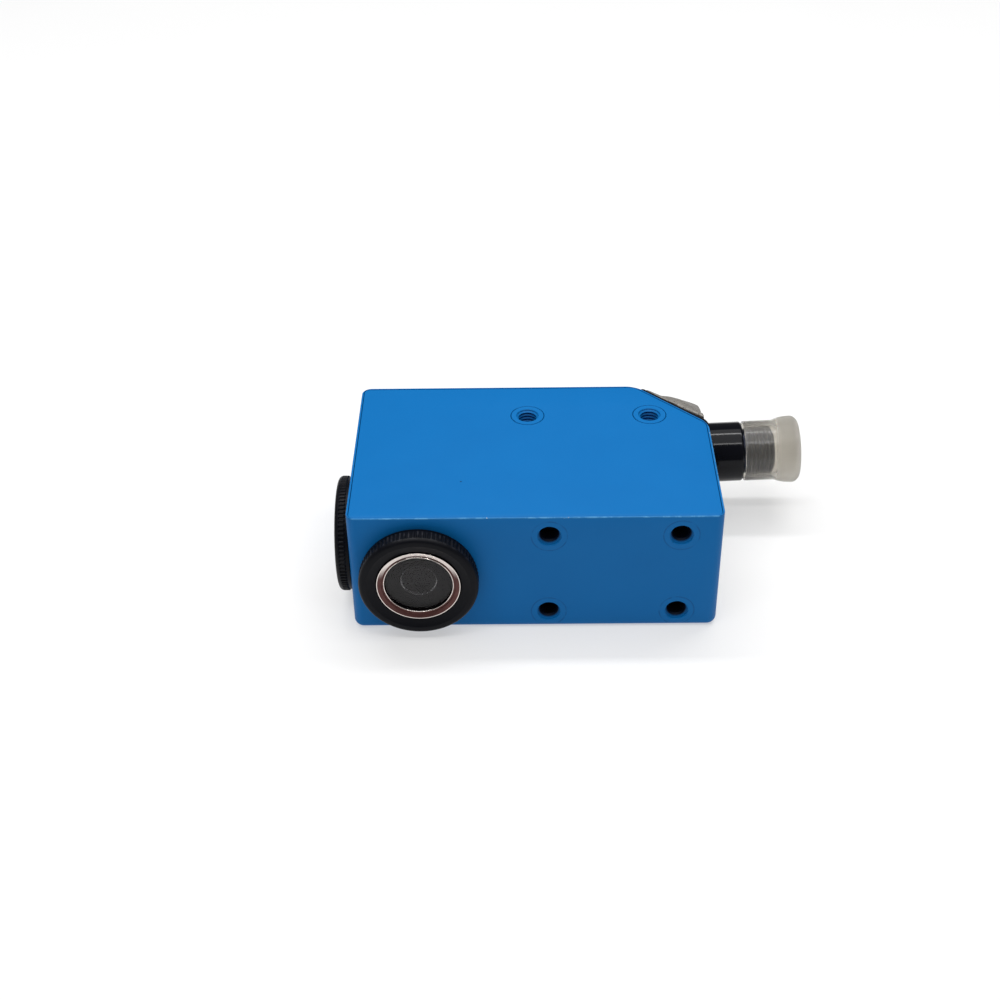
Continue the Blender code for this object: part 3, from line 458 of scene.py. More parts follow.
# ---------------------------------------------------------------------------------------------
# Cover. A flat plate of the same casting metal, let into the rim flush with it and coated with
# it. Its posts reach down to the pot's floor, where four screws from below hold it.
# ---------------------------------------------------------------------------------------------
seam, lid_thickness = 0.13, 1.4
cover = case_slab(
    "cover", rim_width + seam, height - lid_thickness, height - 0.02, 1.15,
    front_inset=front_rim + seam * 0.6, brow=0.1,
)
posts = []
for x, y in screw_spots:
    post = turn_up("post", [(2.6, height - 0.7), (2.6, 2.8), (2.3, 2.5)], 32)
    posts.append(aim(post, (x, y, 0.0), upward))
combine(cover, "UNION", posts)
openings = []
for x in top_boss_x:
    opening = turn_up("opening", [(3.94, 1.0), (3.94, -0.02), (3.87, -0.1), (3.87, -2.5)], 96)
    openings.append(aim(opening, (x, top_boss_y, height), upward))
for x, y in screw_spots:
    openings.append(aim(turn_up("core", [(1.5, 22.6), (1.5, 1.0)], 24), (x, y, 0.0), upward))
combine(cover, "DIFFERENCE", openings)
soften(cover)
dress(cover, blue_coat, "housing", "blue_paint", "cover_plate")

# ---------------------------------------------------------------------------------------------
# Lens ring. Turned aluminium, black anodised, with a straight-knurled rim to screw it in by
# hand. A flat front leads over a short cone to the seat of the glass.
# ---------------------------------------------------------------------------------------------
ribs = 84
rib_depth = 0.26


def knurl(piece, radius, low, high):
    """Press grooves into the rim: two of every four rows of points go in."""
    bpy.ops.object.mode_set(mode="EDIT")
    step = 2 * math.pi / (4 * ribs)

    def in_groove(vert):
        flat = vert.co.xy.length / MM
        turn = round(math.atan2(vert.co.y, vert.co.x) / step) % 4
        return abs(flat - radius) < 0.02 and low < vert.co.z / MM < high and turn < 2

    choose(piece, "verts", in_groove)
    shrink = 1 - rib_depth / radius
    bpy.ops.transform.resize(value=(shrink, shrink, 1), center_override=(0, 0, 0))
    bpy.ops.object.mode_set(mode="OBJECT")


ring_radius, ring_height, edge_rounding = 12.9, 4.4, 1.0
knurl_start, knurl_stop = 0.95, 0.85
flange_gap = 0.14


def flange(radius, top):
    """Profile of a rim: rounded in front, knurled, and plain again next to the housing."""
    return [
        *arc(radius - edge_rounding, top - edge_rounding, edge_rounding, 84, 8, 5),
        (radius, top - knurl_stop - 0.25), (radius, knurl_start + 0.3),
        (radius - 0.28, knurl_start), (radius - 0.28, flange_gap + 0.12),
        (radius - 0.4, flange_gap), (10.2, flange_gap), (10.1, 0.0),
    ]


def neck(bottom):
    """Profile of the threaded neck, with the groove for its seal."""
    return [
        (10.1, -0.7), (8.9, -0.7), (8.9, -2.2), (10.1, -2.2), (10.1, bottom + 0.4),
        (9.7, bottom),
    ]


ring = turn_up(
    "lens_ring_knurled",
    [
        (9.25, 3.66), (9.6, 3.72), (11.0, 4.3), (11.2, ring_height),
        *flange(ring_radius, ring_height), *neck(-5.0), (8.0, -5.0), (8.0, 2.0), (9.25, 2.0),
    ],
    4 * ribs, ring=True,
)
knurl(ring, ring_radius, knurl_start + 0.1, ring_height - knurl_stop - 0.1)
aim(ring, lens_centre, out_of_front)
soften(ring, 24.0)


def off_axis(place, centre, axis):
    """How far a place is from an axis through a point, and its two offsets across the axis."""
    offset = place.node(
        "ShaderNodeVectorMath", {"operation": "SUBTRACT"}, {0: place, 1: centre * MM}
    )
    first, second = (part for part, name in zip(offset.axes(), "XYZ") if name != axis)
    return (first * first + second * second).math("SQRT"), first, second


def black_anodise(name, centre, axis):
    """Black anodised metal: faint turning marks round the axis, dust, and rubbed rib tops."""
    material, shader, place = finish(name, ior=1.5, specular_ior_level=0.1)
    radius, _, _ = off_axis(place, centre, axis)
    turning = (radius * (2 * math.pi / (0.11 * MM))).math("SINE")
    dust = place.noise(0.35, 2.0, 0.7, seed=3.0).band(0.66, 0.78)
    rubbed = radius.band((ring_radius - 0.2) * MM, ring_radius * MM)
    rubbed = rubbed * place.noise(1.2, 3.0, seed=5.0).band(0.4, 0.7)
    base = place.noise(5.0, 2.0).between(colour(8, 9, 14), colour(13, 14, 20))
    base = (dust * 0.35).between(base, colour(52, 50, 56))
    base = (rubbed * 0.3).between(base, colour(70, 70, 76))
    connect(
        shader,
        base_color=base,
        roughness=place.noise(2.0, 3.0, seed=8.0) * 0.14 + 0.36,
        height=turning * 0.0012 + place.noise(0.12, 2.0, seed=2.0) * 0.003,
    )
    return material


ring_black = black_anodise("lens_ring_black", lens_centre, "Y")
dress(ring, ring_black, "lens", "black_anodised", "lens_ring")

# ---------------------------------------------------------------------------------------------
# Lens. A coated glass disc lies on the ring's inner seat; a bright retaining ring is pressed in
# over it. Behind it a black tube carries the aperture, with a second small lens in its hole.
# ---------------------------------------------------------------------------------------------
turning_mark = 0.16
retainer = turn_up(
    "lens_retainer_ring",
    [
        (9.0, 3.2), (9.0, 3.9), *arc(8.93, 3.92, 0.07, 10, 120, 4), (8.0, 3.56), (7.92, 3.36),
        (7.6, 3.3), (7.56, 3.38), *arc(7.46, 3.42, 0.1, 20, 170, 5), (7.34, 3.2),
    ],
    128, ring=True,
)
aim(retainer, lens_centre, out_of_front)
soften(retainer, 30.0)
material, shader, place = finish("retainer_metal")
distance, _, up = off_axis(place, lens_centre, "Y")
outer_lip = distance.band(8.80 * MM, 8.86 * MM)
inner_lip = distance.band(7.62 * MM, 7.54 * MM)
# Painted highlight: only the upper half of the cone is coloured bright silver, the rest stays copper;
# the thin lips are bright all round.
painted_top_highlight = distance.band(7.9 * MM, 8.02 * MM) * up.band(1.5 * MM, 6.0 * MM)
bright = painted_top_highlight.math("MAXIMUM", inner_lip).math("MAXIMUM", outer_lip)
copper = place.noise(1.6, 3.0).between(colour(66, 38, 36), colour(98, 62, 58))
connect(
    shader,
    base_color=bright.between(copper, colour(238, 228, 222)),
    metallic=bright * 0.3 + 0.7,
    roughness=(1 - bright) * 0.25 + 0.12,
    height=(distance * (2 * math.pi / (turning_mark * MM))).math("SINE") * 0.0012,
)
dress(retainer, material, "lens", "bright_metal", "lens_retainer")

glass_radius, crown_top, crown_drop, rings = 9.0, 3.3, 0.6, 10
crown = [
    (glass_radius * step / rings, crown_top - crown_drop * (step / rings) ** 2)
    for step in range(1, rings)
]
glass = turn_up("lens_glass_disc", [*crown, (8.9, 2.65), (8.95, 2.5), (8.9, 2.35), (0.6, 2.3)], 96)
aim(glass, lens_centre, out_of_front)
soften(glass, 50.0)
material, shader, place = finish("coated_glass", ior=1.5, alpha=0.35)
connect(
    shader,
    base_color=place.noise(6.0, 2.0).between(colour(26, 24, 26), colour(34, 32, 34)),
    roughness=place.noise(0.7, 3.0, seed=2.0).band(0.62, 0.8) * 0.05 + 0.01,
)
dress(glass, material, "lens", "lens_glass", "front_lens")

tube = turn_up(
    "aperture_tube_black",
    [
        (3.7, 1.6), (3.72, 1.84), (3.9, 2.0), (7.7, 2.0), (7.7, -4.6), (6.9, -4.6), (6.9, 1.2),
        (3.7, 1.2),
    ],
    96, ring=True,
)
aim(tube, lens_centre, out_of_front)
soften(tube)
material, shader, place = finish("aperture_black", specular_ior_level=0.1)
distance, _, _ = off_axis(place, lens_centre, "Y")
edge = distance.band(3.93 * MM, 3.9 * MM)
black = place.noise(1.5, 2.0).between(colour(16, 16, 18), colour(22, 23, 25))
connect(
    shader,
    base_color=edge.between(black, colour(220, 220, 222)),
    metallic=edge,
    roughness=place.noise(0.5, 2.0, seed=1.0) * 0.2 + 0.35 - edge * 0.2,
    height=place.noise(0.2, 2.0, seed=2.0) * 0.004,
)
dress(tube, material, "lens", "black_anodised", "aperture_tube")

dish = [(3.6 * step / 8, 0.3 + 1.2 * (step / 8) ** 2) for step in range(1, 9)]
inner_lens = turn_up("inner_lens", [*dish, (3.68, 1.5), (3.68, -0.2), (0.4, -0.2)], 64)
aim(inner_lens, lens_centre, out_of_front)
soften(inner_lens, 50.0)
material, shader, place = finish("inner_lens_glass", ior=1.4)
connect(
    shader,
    base_color=place.noise(2.0, 2.0).between(colour(16, 16, 19), colour(24, 24, 27)),
    roughness=place.noise(0.5, 2.0, seed=1.0) * 0.08 + 0.08,
)
dress(inner_lens, material, "lens", "lens_glass")

# ---------------------------------------------------------------------------------------------
# Seals. Moulded rubber O-rings lie in the necks of the lens ring and the blind cap, and one lies
# round the shaft of the swivelling plug. They are split-moulded and dull.
# ---------------------------------------------------------------------------------------------
material, shader, place = finish("seal_rubber_black", specular_ior_level=0.1)
connect(
    shader,
    base_color=place.noise(0.8, 3.0).between(colour(12, 12, 14), colour(22, 22, 24)),
    roughness=place.noise(0.4, 2.0, seed=1.0) * 0.2 + 0.6,
    height=place.noise(0.15, 2.0, seed=2.0) * 0.006,
)
seal_rubber = material
for node, centre, outward, body, radius, thickness, lift in (
    ("lens_o_ring", lens_centre, out_of_front, "lens_seal", 9.65, 0.45, -1.45),
    ("blind_o_ring", blind_centre, out_of_left, "blind_seal", 9.65, 0.45, -1.45),
    ("swivel_o_ring", swivel_centre, out_of_corner, "connector", 5.45, 0.3, 0.65),
):
    seal = turn_up(f"{node}_seal", arc(radius, lift, thickness, 0, 330, 11), 72, ring=True)
    aim(seal, centre, outward)
    soften(seal, 60.0)
    dress(seal, seal_rubber, body, "seal_rubber", node)

# ---------------------------------------------------------------------------------------------
# Blind cap. The same thread and knurl as the lens ring, closed in front, with a rounded rim and
# a coin slot, so that lens and cap can change places.
# ---------------------------------------------------------------------------------------------
cap_radius, cap_height = 12.8, 3.3
blind = turn_up(
    "blind_cap_knurled",
    [
        (0.5, cap_height - 0.4), (8.9, cap_height - 0.4), (9.15, cap_height - 0.37),
        (9.5, cap_height - 0.07), (9.75, cap_height), *flange(cap_radius, cap_height),
        *neck(-4.5), (0.5, -4.5),
    ],
    4 * ribs,
)
knurl(blind, cap_radius, knurl_start + 0.1, cap_height - knurl_stop - 0.1)
slot_low = (-8.0, -0.9, cap_height - 1.7)
slot_high = (8.0, 0.9, cap_height + 1.0)
combine(blind, "DIFFERENCE", [cube("coin_slot", slot_low, slot_high, 0.3)])
aim(blind, blind_centre, out_of_left)
soften(blind, 24.0)
blind_black = black_anodise("blind_cap_black", blind_centre, "X")
dress(blind, blind_black, "blind", "black_anodised", "blind_cap")

# ---------------------------------------------------------------------------------------------
# Swivel plate and elbow. A black seal plate covers the cut corner. On it turns a bare zinc
# casting, soft-edged and grainy from the sand-blasted die, hollow for the leads.
# ---------------------------------------------------------------------------------------------
plate_half, plate_tall, plate_top = 10.6, 14.7, 1.2
plate = cube(
    "swivel_seal_plate", (-plate_half, -plate_tall, 0.05), (plate_half, plate_tall, plate_top)
)
bpy.ops.object.mode_set(mode="EDIT")
choose(plate, "edges", lambda e: abs(e.verts[0].co.z - e.verts[1].co.z) > 0.1 * MM)
bpy.ops.mesh.bevel(offset=1.6 * MM, segments=6, affect="EDGES")
choose(plate, "edges", lambda e: min(v.co.z for v in e.verts) > (plate_top - 0.05) * MM)
bpy.ops.mesh.bevel(offset=0.2 * MM, segments=3, affect="EDGES")
bpy.ops.object.mode_set(mode="OBJECT")
combine(plate, "DIFFERENCE", [turn_up("plate_bore", [(6.1, 2.0), (6.1, -1.0)], 64)])
upright = Matrix((
    (-out_of_corner.y, 0.0, out_of_corner.x),
    (out_of_corner.x, 0.0, out_of_corner.y),
    (0.0, 1.0, 0.0),
)).to_4x4()


def stand(piece):
    """Stand a flat piece that was made about Z on the cut corner, its long side upright."""
    return settle(piece, Matrix.Translation(swivel_centre * MM) @ upright)


soften(stand(plate))
dress(plate, seal_rubber, "housing", "seal_rubber", "swivel_plate")

turned_up = 3.5


def swing(piece):
    """Turn a piece up about the swivel, by as much as the plug is turned at rest."""
    to_centre = Matrix.Translation(swivel_centre * MM)
    turn = Matrix.Rotation(math.radians(-turned_up), 4, out_of_corner)
    return settle(piece, to_centre @ turn @ to_centre.inverted())


plug_y = 19.2
base_start, base_thickness, base_half, base_tall = 1.5, 1.2, 10.4, 14.4
elbow = turn_up(
    "swivel_elbow_casting",
    [
        (3.0, 12.1), (8.8, 12.1), (13.6, 5.0), (14.3, 3.9), (14.55, 2.9), (14.55, base_start),
    ],
    96,
)
aim(elbow, swivel_centre, out_of_corner)
base_low = (-base_half, -base_tall, base_start)
base = stand(cube("base", base_low, (base_half, base_tall, base_start + base_thickness)))
for part in (elbow, base):
    limit = cube("limit", (-30.0, -30.0, -5.0), (right, back, height + 5.0), 2.4, 5)
    combine(part, "INTERSECT", [limit])
boss = turn_up("plug_boss", [(7.3, -6.0), (7.3, -0.02)], 64)
aim(boss, (right, plug_y, middle), out_of_right)
keep = cube("keep", (-12.0, -20.0, base_start), (12.0, 20.0, 20.0))
combine(boss, "INTERSECT", [stand(keep)])
take(elbow)
base.select_set(True)
boss.select_set(True)
bpy.ops.object.join()
cast = elbow.modifiers.new("Cast", "REMESH")
cast.mode = "VOXEL"
cast.voxel_size = 0.28 * MM
take(elbow)
bpy.ops.object.modifier_apply(modifier=cast.name)
worn = elbow.modifiers.new("Worn", "SMOOTH")
worn.factor = 0.5
worn.iterations = 4
bpy.ops.object.modifier_apply(modifier=worn.name)
shaft_radius, clip_groove, clip_from, clip_to = 4.8, 4.2, -3.2, -4.2
shaft = turn_up(
    "shaft",
    [
        (shaft_radius, 2.5), (shaft_radius, clip_from), (clip_groove, clip_from),
        (clip_groove, clip_to), (shaft_radius, clip_to), (shaft_radius, -4.5), (4.7, -4.6),
    ],
    64,
)
aim(shaft, swivel_centre, out_of_corner)
combine(elbow, "UNION", [shaft])
lead_way = aim(turn_up("lead_way", [(3.2, 6.0), (3.2, -6.0)], 48), swivel_centre, out_of_corner)
plug_way = turn_up("plug_way", [(4.3, 1.0), (4.3, 0.0), (4.0, -0.3), (4.0, -2.8)], 64)
combine(elbow, "DIFFERENCE", [lead_way, aim(plug_way, (right, plug_y, middle), out_of_right)])
swing(elbow)
soften(elbow, 40.0)
material, shader, place = finish("bare_zinc_casting", ior=1.6)
grain = place.noise(0.28, 3.0, 0.7)
pits = place.noise(0.6, 2.0, 0.6, seed=5.0).band(0.42, 0.30)
base = place.noise(3.0, 3.0, seed=1.0).between(colour(126, 123, 118), colour(152, 149, 144))
base = (grain.band(0.35, 0.7) * 0.8).between(base, colour(112, 107, 101))
base = pits.between(base, colour(84, 79, 74))
connect(
    shader,
    base_color=base,
    metallic=grain.band(0.3, 0.7) * 0.3 + 0.3,
    roughness=place.noise(0.5, 2.0, seed=3.0) * 0.25 + 0.42,
    height=grain * 0.05 - pits * 0.05,
)
dress(elbow, material, "connector", "bare_zinc", "swivel_elbow")

clip = turn_up("swivel_clip_ring", [(6.6, -3.4), (6.6, -4.0), (4.4, -4.0), (4.4, -3.4)], 64, ring=True)
combine(clip, "DIFFERENCE", [cube("clip_gap", (3.0, -1.2, -5.0), (8.0, 1.2, -3.0))])
aim(clip, swivel_centre, out_of_corner)
soften(clip)


def plated_steel(name):
    """Bright zinc-plated steel with fine scratches."""
    material, shader, place = finish(name, metallic=1.0)
    scratches = place.noise(0.5, 4.0, 0.7, seed=2.0)
    connect(
        shader,
        base_color=place.noise(1.4, 2.0).between(colour(176, 176, 178), colour(206, 206, 206)),
        roughness=scratches * 0.25 + 0.18,
        height=scratches * 0.004,
    )
    return material


screw_steel = plated_steel("screw_plating")
dress(clip, screw_steel, "connector", "screw_steel", "swivel_clip")

# ---------------------------------------------------------------------------------------------
# Plug. A glossy black moulded collar is pressed into the elbow. The threaded metal sleeve, the
# black insert and its five gold-plated pins stand in it. All lie on one axis, turned up a little
# with the elbow.
# ---------------------------------------------------------------------------------------------
plug_base = Vector((0.0, plug_y, middle))
collar_radius, collar_end = 7.05, 49.7
collar = turn_up(
    "plug_collar_moulding",
    [
        (5.3, collar_end), *arc(collar_radius - 0.65, collar_end - 0.65, 0.65, 88, 0, 7),
        (collar_radius, 40.9), (collar_radius - 0.25, 40.3), (3.7, 40.3), (3.7, 37.6), (2.6, 37.6),
        (2.6, 43.6), (5.3, 43.6),
    ],
    128, ring=True,
)
aim(collar, plug_base, out_of_right)
swing(collar)
soften(collar)
material, shader, place = finish("glossy_black_moulding", ior=1.5, specular_ior_level=0.16)
connect(
    shader,
    base_color=place.noise(4.0, 2.0).between(colour(9, 10, 15), colour(14, 15, 21)),
    roughness=place.noise(1.2, 3.0, seed=1.0) * 0.08 + 0.07,
    height=place.noise(2.2, 2.0, seed=3.0) * 0.012,
)
dress(collar, material, "connector", "glossy_black", "plug_collar")

thread_start, thread_end, thread_root, thread_crest = 50.5, 57.0, 5.45, 5.95
thread = []
for turn in range(int(thread_end - thread_start)):
    at = thread_end - turn
    thread += [
        (thread_root, at - 0.08), (thread_crest - 0.05, at - 0.40), (thread_crest, at - 0.5),
        (thread_crest - 0.05, at - 0.60), (thread_root, at - 0.92),
    ]
sleeve = turn_up(
    "threaded_sleeve",
    [
        (4.4, 57.0), (4.55, 57.18), (4.7, 57.2), (5.2, 57.2), (5.35, 57.1), *thread,
        (5.3, 50.6), (5.3, 50.0), (5.0, 50.0), (5.0, 44.0), (4.4, 44.0),
    ],
    96, ring=True,
)
aim(sleeve, plug_base, out_of_right)
swing(sleeve)
soften(sleeve, 28.0)
material, shader, place = finish("dark_nickel", metallic=0.9)
connect(
    shader,
    base_color=place.noise(1.5, 2.0).between(colour(38, 42, 56), colour(58, 62, 77)),
    roughness=place.noise(0.6, 3.0, seed=1.0) * 0.2 + 0.24,
    height=place.noise(0.3, 2.0, seed=2.0) * 0.004,
)
dress(sleeve, material, "connector", "thread_metal", "thread_sleeve")

pin_circle = 2.75
pin_spots = [(0.0, 0.0)]
for quarter in range(4):
    angle = math.radians(45 + 90 * quarter)
    pin_spots.append((pin_circle * math.cos(angle), pin_circle * math.sin(angle)))
insert = turn_up("plug_insert", [(3.9, 51.0), (4.1, 50.8), (4.1, 44.4), (3.9, 44.2)], 64)
aim(insert, plug_base, out_of_right)
for across, rise in pin_spots:
    way = turn_up("pin_way", [(0.75, 52.0), (0.75, 50.9), (0.6, 50.7), (0.6, 43.0)], 20)
    combine(insert, "DIFFERENCE", [aim(way, plug_base + Vector((0, across, rise)), out_of_right)])
key = cube("insert_key", (46.0, plug_y - 0.6, middle + 3.6), (52.0, plug_y + 0.6, middle + 5.0), 0.2)
combine(insert, "DIFFERENCE", [key])
swing(insert)
soften(insert)
material, shader, place = finish("insert_black", ior=1.5)
connect(
    shader,
    base_color=place.noise(2.0, 2.0).between(colour(22, 22, 24), colour(32, 32, 34)),
    roughness=place.noise(0.6, 2.0, seed=1.0) * 0.2 + 0.4,
    height=place.noise(0.2, 2.0, seed=2.0) * 0.005,
)
insert_black = material
dress(insert, insert_black, "connector", "black_plastic", "pin_insert")

material, shader, place = finish("gold_plating", metallic=1.0)
connect(
    shader,
    base_color=place.noise(0.9, 2.0).between(colour(214, 176, 96), colour(232, 198, 120)),
    roughness=place.noise(0.4, 2.0, seed=1.0) * 0.14 + 0.16,
)
for number, (across, rise) in enumerate(pin_spots):
    tip = arc(0.1, 56.0, 0.4, 85, 0, 5)
    pin = turn_up(f"gold_pin_{number + 1}", [*tip, (0.5, 44.0), (0.4, 43.9)], 24)
    aim(pin, plug_base + Vector((0, across, rise)), out_of_right)
    swing(pin)
    soften(pin, 50.0)
    dress(pin, material, "connector", "pin_gold", f"contact_pin_{number + 1}")

# ---------------------------------------------------------------------------------------------
# Dust cap. Soft milky polyethylene, pushed over the thread for transport: a thin tube, open
# towards the collar, that widens to a thick rounded end for pulling it off.
# ---------------------------------------------------------------------------------------------
cap = turn_up(
    "dust_cap_moulding",
    [
        (0.5, 62.9), (3.0, 62.95), (5.3, 63.0), *arc(6.1, 61.2, 1.78, 84, 0, 9), (7.85, 60.4),
        (7.78, 59.6), (7.66, 58.9), (7.48, 58.2), (7.26, 57.5), (7.12, 57.1), (7.1, 56.6),
        (7.1, 50.35), (7.02, 50.1), (6.85, 50.02), (6.65, 50.1), (6.5, 50.4), (6.5, 61.5),
        (6.1, 61.9), (0.5, 61.9),
    ],
    128,
)
aim(cap, plug_base, out_of_right)
swing(cap)
soften(cap, 45.0)
material, shader, place = finish("milky_polyethylene", ior=1.35, transmission_weight=0.92)
streak = place.node("ShaderNodeMapping", None, {"Vector": place, "Scale": (0.2, 1.0, 1.0)})
cloud = streak.noise(2.4, 3.0)
solid = (place.axes()[0] - 57.0 * MM).band(0.0, 1.5 * MM)
connect(
    shader,
    base_color=cloud.between(colour(212, 208, 200), colour(228, 225, 218)),
    roughness=place.noise(1.2, 2.0, seed=1.0) * 0.08 + 0.13 + solid * 0.4,
    height=cloud * 0.02,
)
dress(cap, material, "cap", "milky_cap", "dust_cap")

# ---------------------------------------------------------------------------------------------
# Control panel. A grained black bezel in the right face, on a thin seal, held by two cross-head
# screws. Two soft grey keys come through it, and beside each a tinted light guide ends flush.
# ---------------------------------------------------------------------------------------------
key_y, light_y, key_levels, key_radius = -11.2, -3.4, (20.2, 10.2), 3.2
screw_levels = (-18.8, 3.2)
bezel = cube("panel_bezel", panel_low, panel_high)
bpy.ops.object.mode_set(mode="EDIT")
choose(bezel, "edges", lambda e: abs(e.verts[0].co.x - e.verts[1].co.x) > 0.1 * MM)
bpy.ops.mesh.bevel(offset=0.8 * MM, segments=6, affect="EDGES")
choose(bezel, "edges", lambda e: min(v.co.x for v in e.verts) > (panel_high.x - 0.01) * MM)
bpy.ops.mesh.bevel(offset=0.15 * MM, segments=3, affect="EDGES")
bpy.ops.object.mode_set(mode="OBJECT")
holes = []
for level in key_levels:
    way = [(3.75, 1.0), (3.75, 0.0), (3.45, -0.25), (3.45, -3.0)]
    holes.append(aim(turn_up("key_way", way, 64), (panel_high.x, key_y, level), out_of_right))
    way = [(1.6, 1.0), (1.6, 0.0), (1.42, -0.15), (1.42, -3.0)]
    holes.append(aim(turn_up("light_way", way, 40), (panel_high.x, light_y, level), out_of_right))
for y in screw_levels:
    way = [(2.2, 1.0), (2.2, -0.35), (1.2, -0.35), (1.2, -3.0)]
    holes.append(aim(turn_up("screw_way", way, 40), (panel_high.x, y, middle), out_of_right))
combine(bezel, "DIFFERENCE", holes)
soften(bezel)
material, shader, place = finish("panel_grain", ior=1.48)
connect(
    shader,
    base_color=place.noise(4.0, 2.0).between(colour(28, 28, 30), colour(38, 38, 41)),
    roughness=place.noise(0.6, 2.0, seed=1.0) * 0.16 + 0.44,
    height=place.noise(0.22, 2.0, seed=2.0) * 0.014,
)
dress(bezel, material, "housing", "panel_black", "control_panel")

material, shader, place = finish("key_silicone", ior=1.42)
connect(
    shader,
    base_color=place.noise(1.8, 2.0).between(colour(104, 107, 111), colour(122, 125, 129)),
    roughness=place.noise(0.5, 2.0, seed=1.0) * 0.15 + 0.55,
    height=place.noise(0.2, 2.0, seed=2.0) * 0.006,
)
key_silicone = material
for name, level, body in (("teach", key_levels[0], "teach_key"), ("mode", key_levels[1], "mode_key")):
    low, high = (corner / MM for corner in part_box(f"{name}_button"))
    tall = high.x - right
    button = turn_up(
        f"{name}_key_cap",
        [
            (0.3, tall - 0.22), (1.2, tall - 0.18), (2.0, tall - 0.05), (2.5, tall),
            *arc(key_radius - 0.45, tall - 0.45, 0.45, 75, 0, 5), (key_radius, -1.26),
            (3.9, -1.3), (3.9, -1.75), (1.0, -1.75), (1.0, low.x - right), (0.3, low.x - right),
        ],
        64,
    )
    aim(button, (right, key_y, level), out_of_right)
    soften(button, 40.0)
    dress(button, key_silicone, body, "key_grey", f"{name}_button")

for node, level, slot, dim, lit in (
    ("output_light_guide", key_levels[0], "amber_guide", (176, 96, 22), (236, 150, 44)),
    ("power_light_guide", key_levels[1], "green_guide", (30, 120, 52), (70, 190, 92)),
):
    guide = turn_up(
        f"{node}_tip",
        [(0.3, 0.12), (0.8, 0.08), (1.15, -0.02), (1.3, -0.2), (1.3, -3.9), (0.3, -3.9)],
        40,
    )
    aim(guide, (panel_high.x, light_y, level), out_of_right)
    soften(guide, 50.0)
    material, shader, place = finish(f"{node}_tint", ior=1.49, transmission_weight=0.4)
    depth = (place.axes()[0] - panel_high.x * MM).band(-2.0 * MM, 0.0)
    connect(
        shader,
        base_color=depth.between(colour(*dim), colour(*lit)),
        roughness=place.noise(0.5, 2.0) * 0.1 + 0.1,
    )
    dress(guide, material, "housing", slot, node)


def cross_screw(name, point, direction, head, shank):
    """A cross-head screw: turned, then two slots cut crosswise into its head."""
    screw = turn_up(name, [*head, *shank], 48)
    top, wide = head[0][1], head[-1][0]
    for turn in range(2):
        half_long, half_wide = wide * 0.6, wide * 0.12
        slot = cube("slot", (-half_long, -half_wide, top - 0.8), (half_long, half_wide, top + 1))
        slot.rotation_euler.z = turn * math.pi / 2
        combine(screw, "DIFFERENCE", [slot])
    aim(screw, point, direction)
    return soften(screw)


for number, y in enumerate(screw_levels):
    screw = cross_screw(
        f"panel_pan_screw_{number + 1}", (right, y, middle), out_of_right,
        [(0.3, 0.6), (1.0, 0.56), (1.5, 0.42), (1.8, 0.2), (1.9, 0.0), (1.9, -0.14)],
        [(0.85, -0.15), (0.85, -4.4), (0.3, -4.7)],
    )
    dress(screw, screw_steel, "housing", "screw_steel", f"panel_screw_{number + 1}")

# ---------------------------------------------------------------------------------------------
# Cover screws. Four countersunk cross-head screws come up through the floor into the cover's
# posts.
# ---------------------------------------------------------------------------------------------
for number, (x, y) in enumerate(screw_spots):
    screw = cross_screw(
        f"cover_countersunk_screw_{number + 1}", (x, y, 0.0), (0, 0, -1),
        [(0.3, -0.35), (1.9, -0.35), (2.1, -0.42), (2.2, -0.6)],
        [(1.15, -1.75), (1.15, -21.5), (0.9, -22.0)],
    )
    dress(screw, screw_steel, "housing", "screw_steel", f"cover_screw_{number + 1}")

# ---------------------------------------------------------------------------------------------
# Inside. Boards, chips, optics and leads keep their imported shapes, since the closed housing
# hides them. Each gets the finish of its real material.
# ---------------------------------------------------------------------------------------------


def inner_finish(name, dark, light, size, rough, metal=0.0, relief=0.004):
    """A two-tone grained finish for a piece inside the housing."""
    material, shader, place = finish(name, metallic=metal, ior=1.5)
    connect(
        shader,
        base_color=place.noise(size, 3.0).between(colour(*dark), colour(*light)),
        roughness=place.noise(size / 2, 2.0, seed=1.0) * 0.2 + rough,
        height=place.noise(size / 4, 2.0, seed=2.0) * relief,
    )
    return material


inside = {
    inner_finish("solder_mask", (18, 84, 40), (30, 108, 54), 1.2, 0.3): (
        "main_board", "control_board", "emitter_board", "receiver_board",
    ),
    inner_finish("moulded_epoxy", (22, 22, 24), (38, 38, 40), 0.5, 0.5): (
        "processor_chip", "driver_chip", "teach_switch", "mode_switch",
    ),
    inner_finish("pale_resin", (206, 203, 190), (228, 226, 214), 1.0, 0.3): (
        "emitter_led", "photodiode", "plug_header",
    ),
    inner_finish("lead_insulation", (22, 22, 24), (44, 44, 46), 0.8, 0.5): (
        "plug_leads", "emitter_leads", "receiver_leads", "panel_leads",
    ),
    inner_finish("inner_glass", (120, 126, 132), (150, 156, 160), 3.0, 0.03, relief=0.0005): (
        "collimator_lens", "receiver_lens", "beam_splitter",
    ),
    insert_black: ("optics_block",),
    seal_rubber: ("cover_gasket", "panel_gasket"),
    screw_steel: ("board_screw_1", "board_screw_2", "board_screw_3"),
}
for material, nodes in inside.items():
    for node in nodes:
        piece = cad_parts[node]
        piece.data.materials.clear()
        piece.data.materials.append(material)

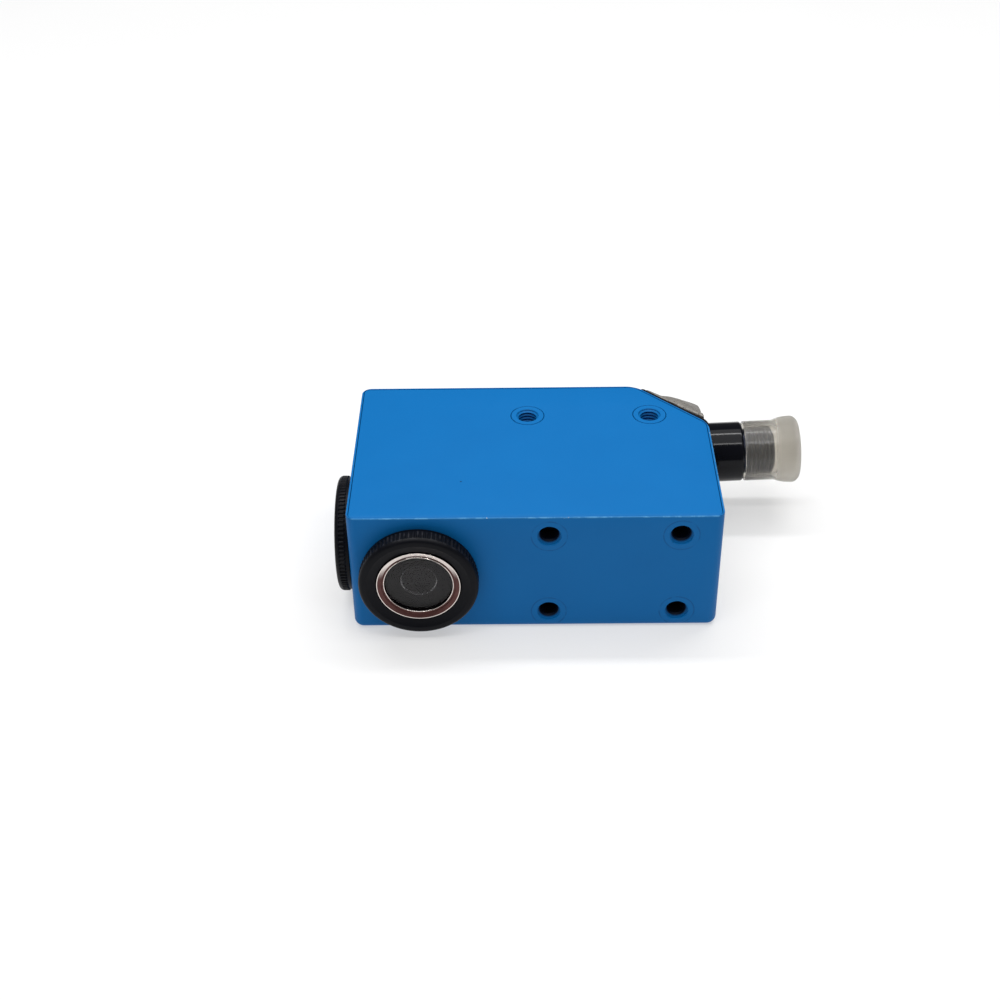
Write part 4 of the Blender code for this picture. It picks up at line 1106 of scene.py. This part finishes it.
# ---------------------------------------------------------------------------------------------
# Studio. A pale floor that glows a little, a broad soft light overhead and two long strips that
# draw lines along round pieces. The camera stands in front and above, almost square to the
# lens face.
# ---------------------------------------------------------------------------------------------
bpy.ops.object.select_all(action="DESELECT")
bpy.ops.mesh.primitive_plane_add(size=6.0, location=(0, 0, cad_box[0][2] - 0.0001))
floor = bpy.context.active_object
floor.name = "floor"
material, shader, place = finish(
    "pale_floor", roughness=0.7, specular_ior_level=0.0, emission_strength=0.5,
    emission_color=(1.0, 1.0, 1.0, 1.0),
)
connect(shader, base_color=place.noise(60.0, 2.0).between(colour(172, 172, 172), colour(176, 176, 176)))
floor.data.materials.append(material)

world = bpy.data.worlds.new("studio")
world.use_nodes = True
world.node_tree.nodes["Background"].inputs["Color"].default_value = (1.0, 1.0, 1.0, 1.0)
world.node_tree.nodes["Background"].inputs["Strength"].default_value = 0.1
bpy.context.scene.world = world

for name, place_at, size, power in (
    ("front_strip", (0.0, -0.33, 0.75), (1.1, 0.06), 2.6),
    ("rear_strip", (0.0, 0.25, 0.78), (1.1, 0.06), 3.8),
    ("overhead", (0.0, 0.15, 1.0), (1.2, 1.2), 8.0),
):
    light = bpy.data.lights.new(name, "AREA")
    light.shape = "RECTANGLE"
    light.size, light.size_y = size
    light.energy = power
    lamp = bpy.data.objects.new(name, light)
    lamp.location = place_at
    toward = Vector((0, 0, 0.015)) - Vector(place_at)
    lamp.rotation_euler = toward.to_track_quat("-Z", "Y").to_euler()
    bpy.context.scene.collection.objects.link(lamp)

camera_at = Vector((-3.94, -282.34, 225.66))
turned_left, looks_down, rolled = 0.752, 36.57, -0.936
camera = bpy.data.objects.new("camera", bpy.data.cameras.new("camera"))
camera.data.lens = 55.41
camera.data.sensor_width = 36.0
camera.data.clip_start = 0.01
camera_turn = (
    Matrix.Rotation(math.radians(turned_left), 4, "Z")
    @ Matrix.Rotation(math.radians(90.0 - looks_down), 4, "X")
    @ Matrix.Rotation(math.radians(rolled), 4, "Z")
)
camera.matrix_world = Matrix.Translation(camera_at * MM) @ camera_turn
bpy.context.scene.collection.objects.link(camera)
bpy.context.scene.camera = camera
bpy.context.scene.view_settings.view_transform = "Standard"

bpy.context.view_layer.update()
